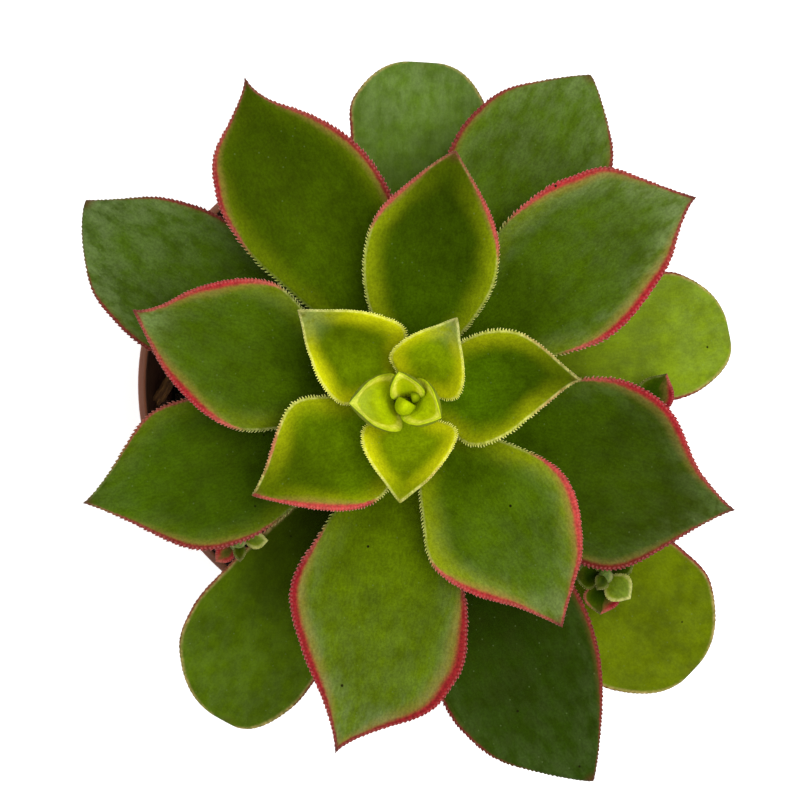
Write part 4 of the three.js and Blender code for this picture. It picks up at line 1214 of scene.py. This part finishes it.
def build_soil():
    """The soil body: its sides follow the pot, and its top is broken into clods and crumbs."""
    bottom = GROOVE_TOP + GAP
    edge = pot_inner(SOIL_EDGE_TOP - 2) - GAP
    turns = turns_of(SOIL_SIDES)
    rings = [ring_at(pot_inner(bottom) - GAP, bottom, turns), ring_at(edge, SOIL_EDGE_TOP - 3, turns)]
    for share in np.linspace(1, 0.01, SOIL_RINGS):
        ring = ring_at(edge * share, 0, turns)
        ring[:, 2] = [soil_height(x, y, edge) for x, y in ring[:, :2]]
        rings.append(ring)
    shape = Shape(*tube(rings, (0, 0, bottom), (0, 0, rings[-1][:, 2].mean())), {})
    material = soil_material()
    make_piece("fine_soil", shape, material, "soil", "soil")
    scatter_crumbs(edge, material)
    scatter_bark(edge)


def scattered(rng, edge, clearance):
    """A place on the soil, clear of the stem and the pot's wall."""
    while True:
        radius = edge * math.sqrt(rng.uniform(0, 1))
        turn = rng.uniform(0, 2 * math.pi)
        x, y = radius * math.cos(turn), radius * math.sin(turn)
        clear = math.hypot(x - STEM_FOOT[0], y - STEM_FOOT[1]) > STEM_RADIUS + clearance
        if clear and radius < edge - clearance:
            return x, y, soil_height(x, y, edge)


def tumbled(rng, tilt):
    """The matrix of a random turn about the upright axis, then a tilt about a level one."""
    spin, lean, way = rng.uniform(0, 2 * math.pi), rng.uniform(-tilt, tilt), rng.uniform(0, 2 * math.pi)
    return turn_about((math.cos(way), math.sin(way), 0), lean) @ turn_about((0, 0, 1), spin)


def scatter_crumbs(edge, material):
    """Loose crumbs of soil, half sunk in its surface."""
    rng = np.random.default_rng(CRUMB_SEED)
    points, faces = lump_template(2)
    shapes = []
    for crumb in range(CRUMBS):
        size = CRUMB_LEAST + CRUMB_SPREAD * rng.power(0.6) * rng.uniform(0.4, 1)
        x, y, z = scattered(rng, edge, CRUMB_CLEARANCE)
        squeeze = [rng.uniform(*span) for span in CRUMB_SQUEEZE]
        lump = points * roughness_of(points, *CRUMB_ROUGHNESS, (crumb, 0, 0)) * squeeze * size
        centre = [x, y, z + CRUMB_LIFT * size]
        shapes.append(Shape(lump @ tumbled(rng, CRUMB_TILT).T + centre, faces, {}))
    make_piece("soil_crumbs", joined(shapes), material, "soil")


def bark_chip(template, half, tone, number, axes, centre):
    """A boxy, rough chip of bark, long in the first of its axes, from a ball's points and faces."""
    points, faces = template
    boxy = np.sign(points) * np.abs(points) ** BARK_BOXINESS
    chip = boxy * half * roughness_of(points, *BARK_ROUGHNESS, (0, 3 * number, 0))
    values = dict(tone=np.full(len(points), tone), grain=chip + [0, 0, 5.0 * number])
    return Shape(chip @ axes + centre, faces, values)


def scatter_bark(edge):
    """Chips of composted bark lying on the soil, and one long sliver that leans on the pot's wall."""
    rng = np.random.default_rng(BARK_SEED)
    template = lump_template(3)
    shapes = []
    for number in range(BARK_CHIPS):
        half = [rng.uniform(*span) for span in BARK_HALVES]
        x, y, z = scattered(rng, edge, BARK_CLEARANCE)
        axes = tumbled(rng, BARK_TILT).T
        centre = (x, y, z + BARK_LIFT * half[2])
        shapes.append(bark_chip(template, half, rng.uniform(0, 1), number, axes, centre))
    foot, head = np.array(WALL_CHIP_FOOT), np.array(WALL_CHIP_HEAD)
    along = unit(head - foot)
    across = unit(np.cross([0, 0, 1.0], along))
    half = (0.5 * np.linalg.norm(head - foot), *WALL_CHIP_HALF)
    axes = np.array([along, across, np.cross(along, across)])
    shapes.append(bark_chip(template, half, WALL_CHIP_TONE, BARK_CHIPS, axes, 0.5 * (foot + head)))
    make_piece("bark_chips", joined(shapes), bark_material(), "soil")


def build_floor():
    """A plain pale floor under the pot."""
    mesh = bpy.data.meshes.new("floor")
    corners = [(x * FLOOR_HALF, y * FLOOR_HALF, 0) for x, y in ((-1, -1), (1, -1), (1, 1), (-1, 1))]
    mesh.from_pydata(corners, [], [(0, 1, 2, 3)])
    s = Shader("pale_floor")
    grain = s.noise(s.place(), 0.02, 3)
    color = s.mix(grain, srgb(246, 246, 245), srgb(250, 250, 249))
    mesh.materials.append(s.finish(
        color, 0.9, s.bump(grain, 0.01, 0.1),
        Specular_IOR_Level=0.1, Emission_Color=(1.0, 1.0, 1.0, 1.0), Emission_Strength=FLOOR_GLOW,
    ))
    floor = placed("floor", mesh)
    floor.location.z = -FLOOR_DROP


def build_camera():
    data = bpy.data.cameras.new("camera")
    data.lens = CAMERA_LENS
    data.clip_end = CAMERA_REACH
    camera = placed("camera", data)
    camera.location = Vector(CAMERA_PLACE) * MM
    bpy.context.scene.camera = camera


def build_lights():
    """The soft boxes and an even white surround."""
    for name, bearing, rise, distance, size, power in SOFT_BOXES:
        data = bpy.data.lights.new(name, "AREA")
        data.shape = "DISK"
        data.size = size
        data.energy = power
        light = placed(name, data)
        turn, lift = math.radians(bearing), math.radians(rise)
        towards = Vector((math.cos(turn) * math.cos(lift), math.sin(turn) * math.cos(lift), math.sin(lift)))
        light.location = towards * distance + Vector((0, 0, LIT_HEIGHT))
        light.rotation_euler = towards.to_track_quat("Z", "Y").to_euler()
    world = bpy.data.worlds.new("soft_daylight")
    world.use_nodes = True
    background = world.node_tree.nodes["Background"]
    background.inputs["Color"].default_value = (1.0, 1.0, 1.0, 1.0)
    background.inputs["Strength"].default_value = WORLD_LIGHT
    bpy.context.scene.world = world


build_camera()
build_lights()
build_floor()
build_pot()
build_soil()
build_stem()
build_leaves()
build_heart()
build_shoots()
bpy.context.scene.view_settings.view_transform = "Standard"
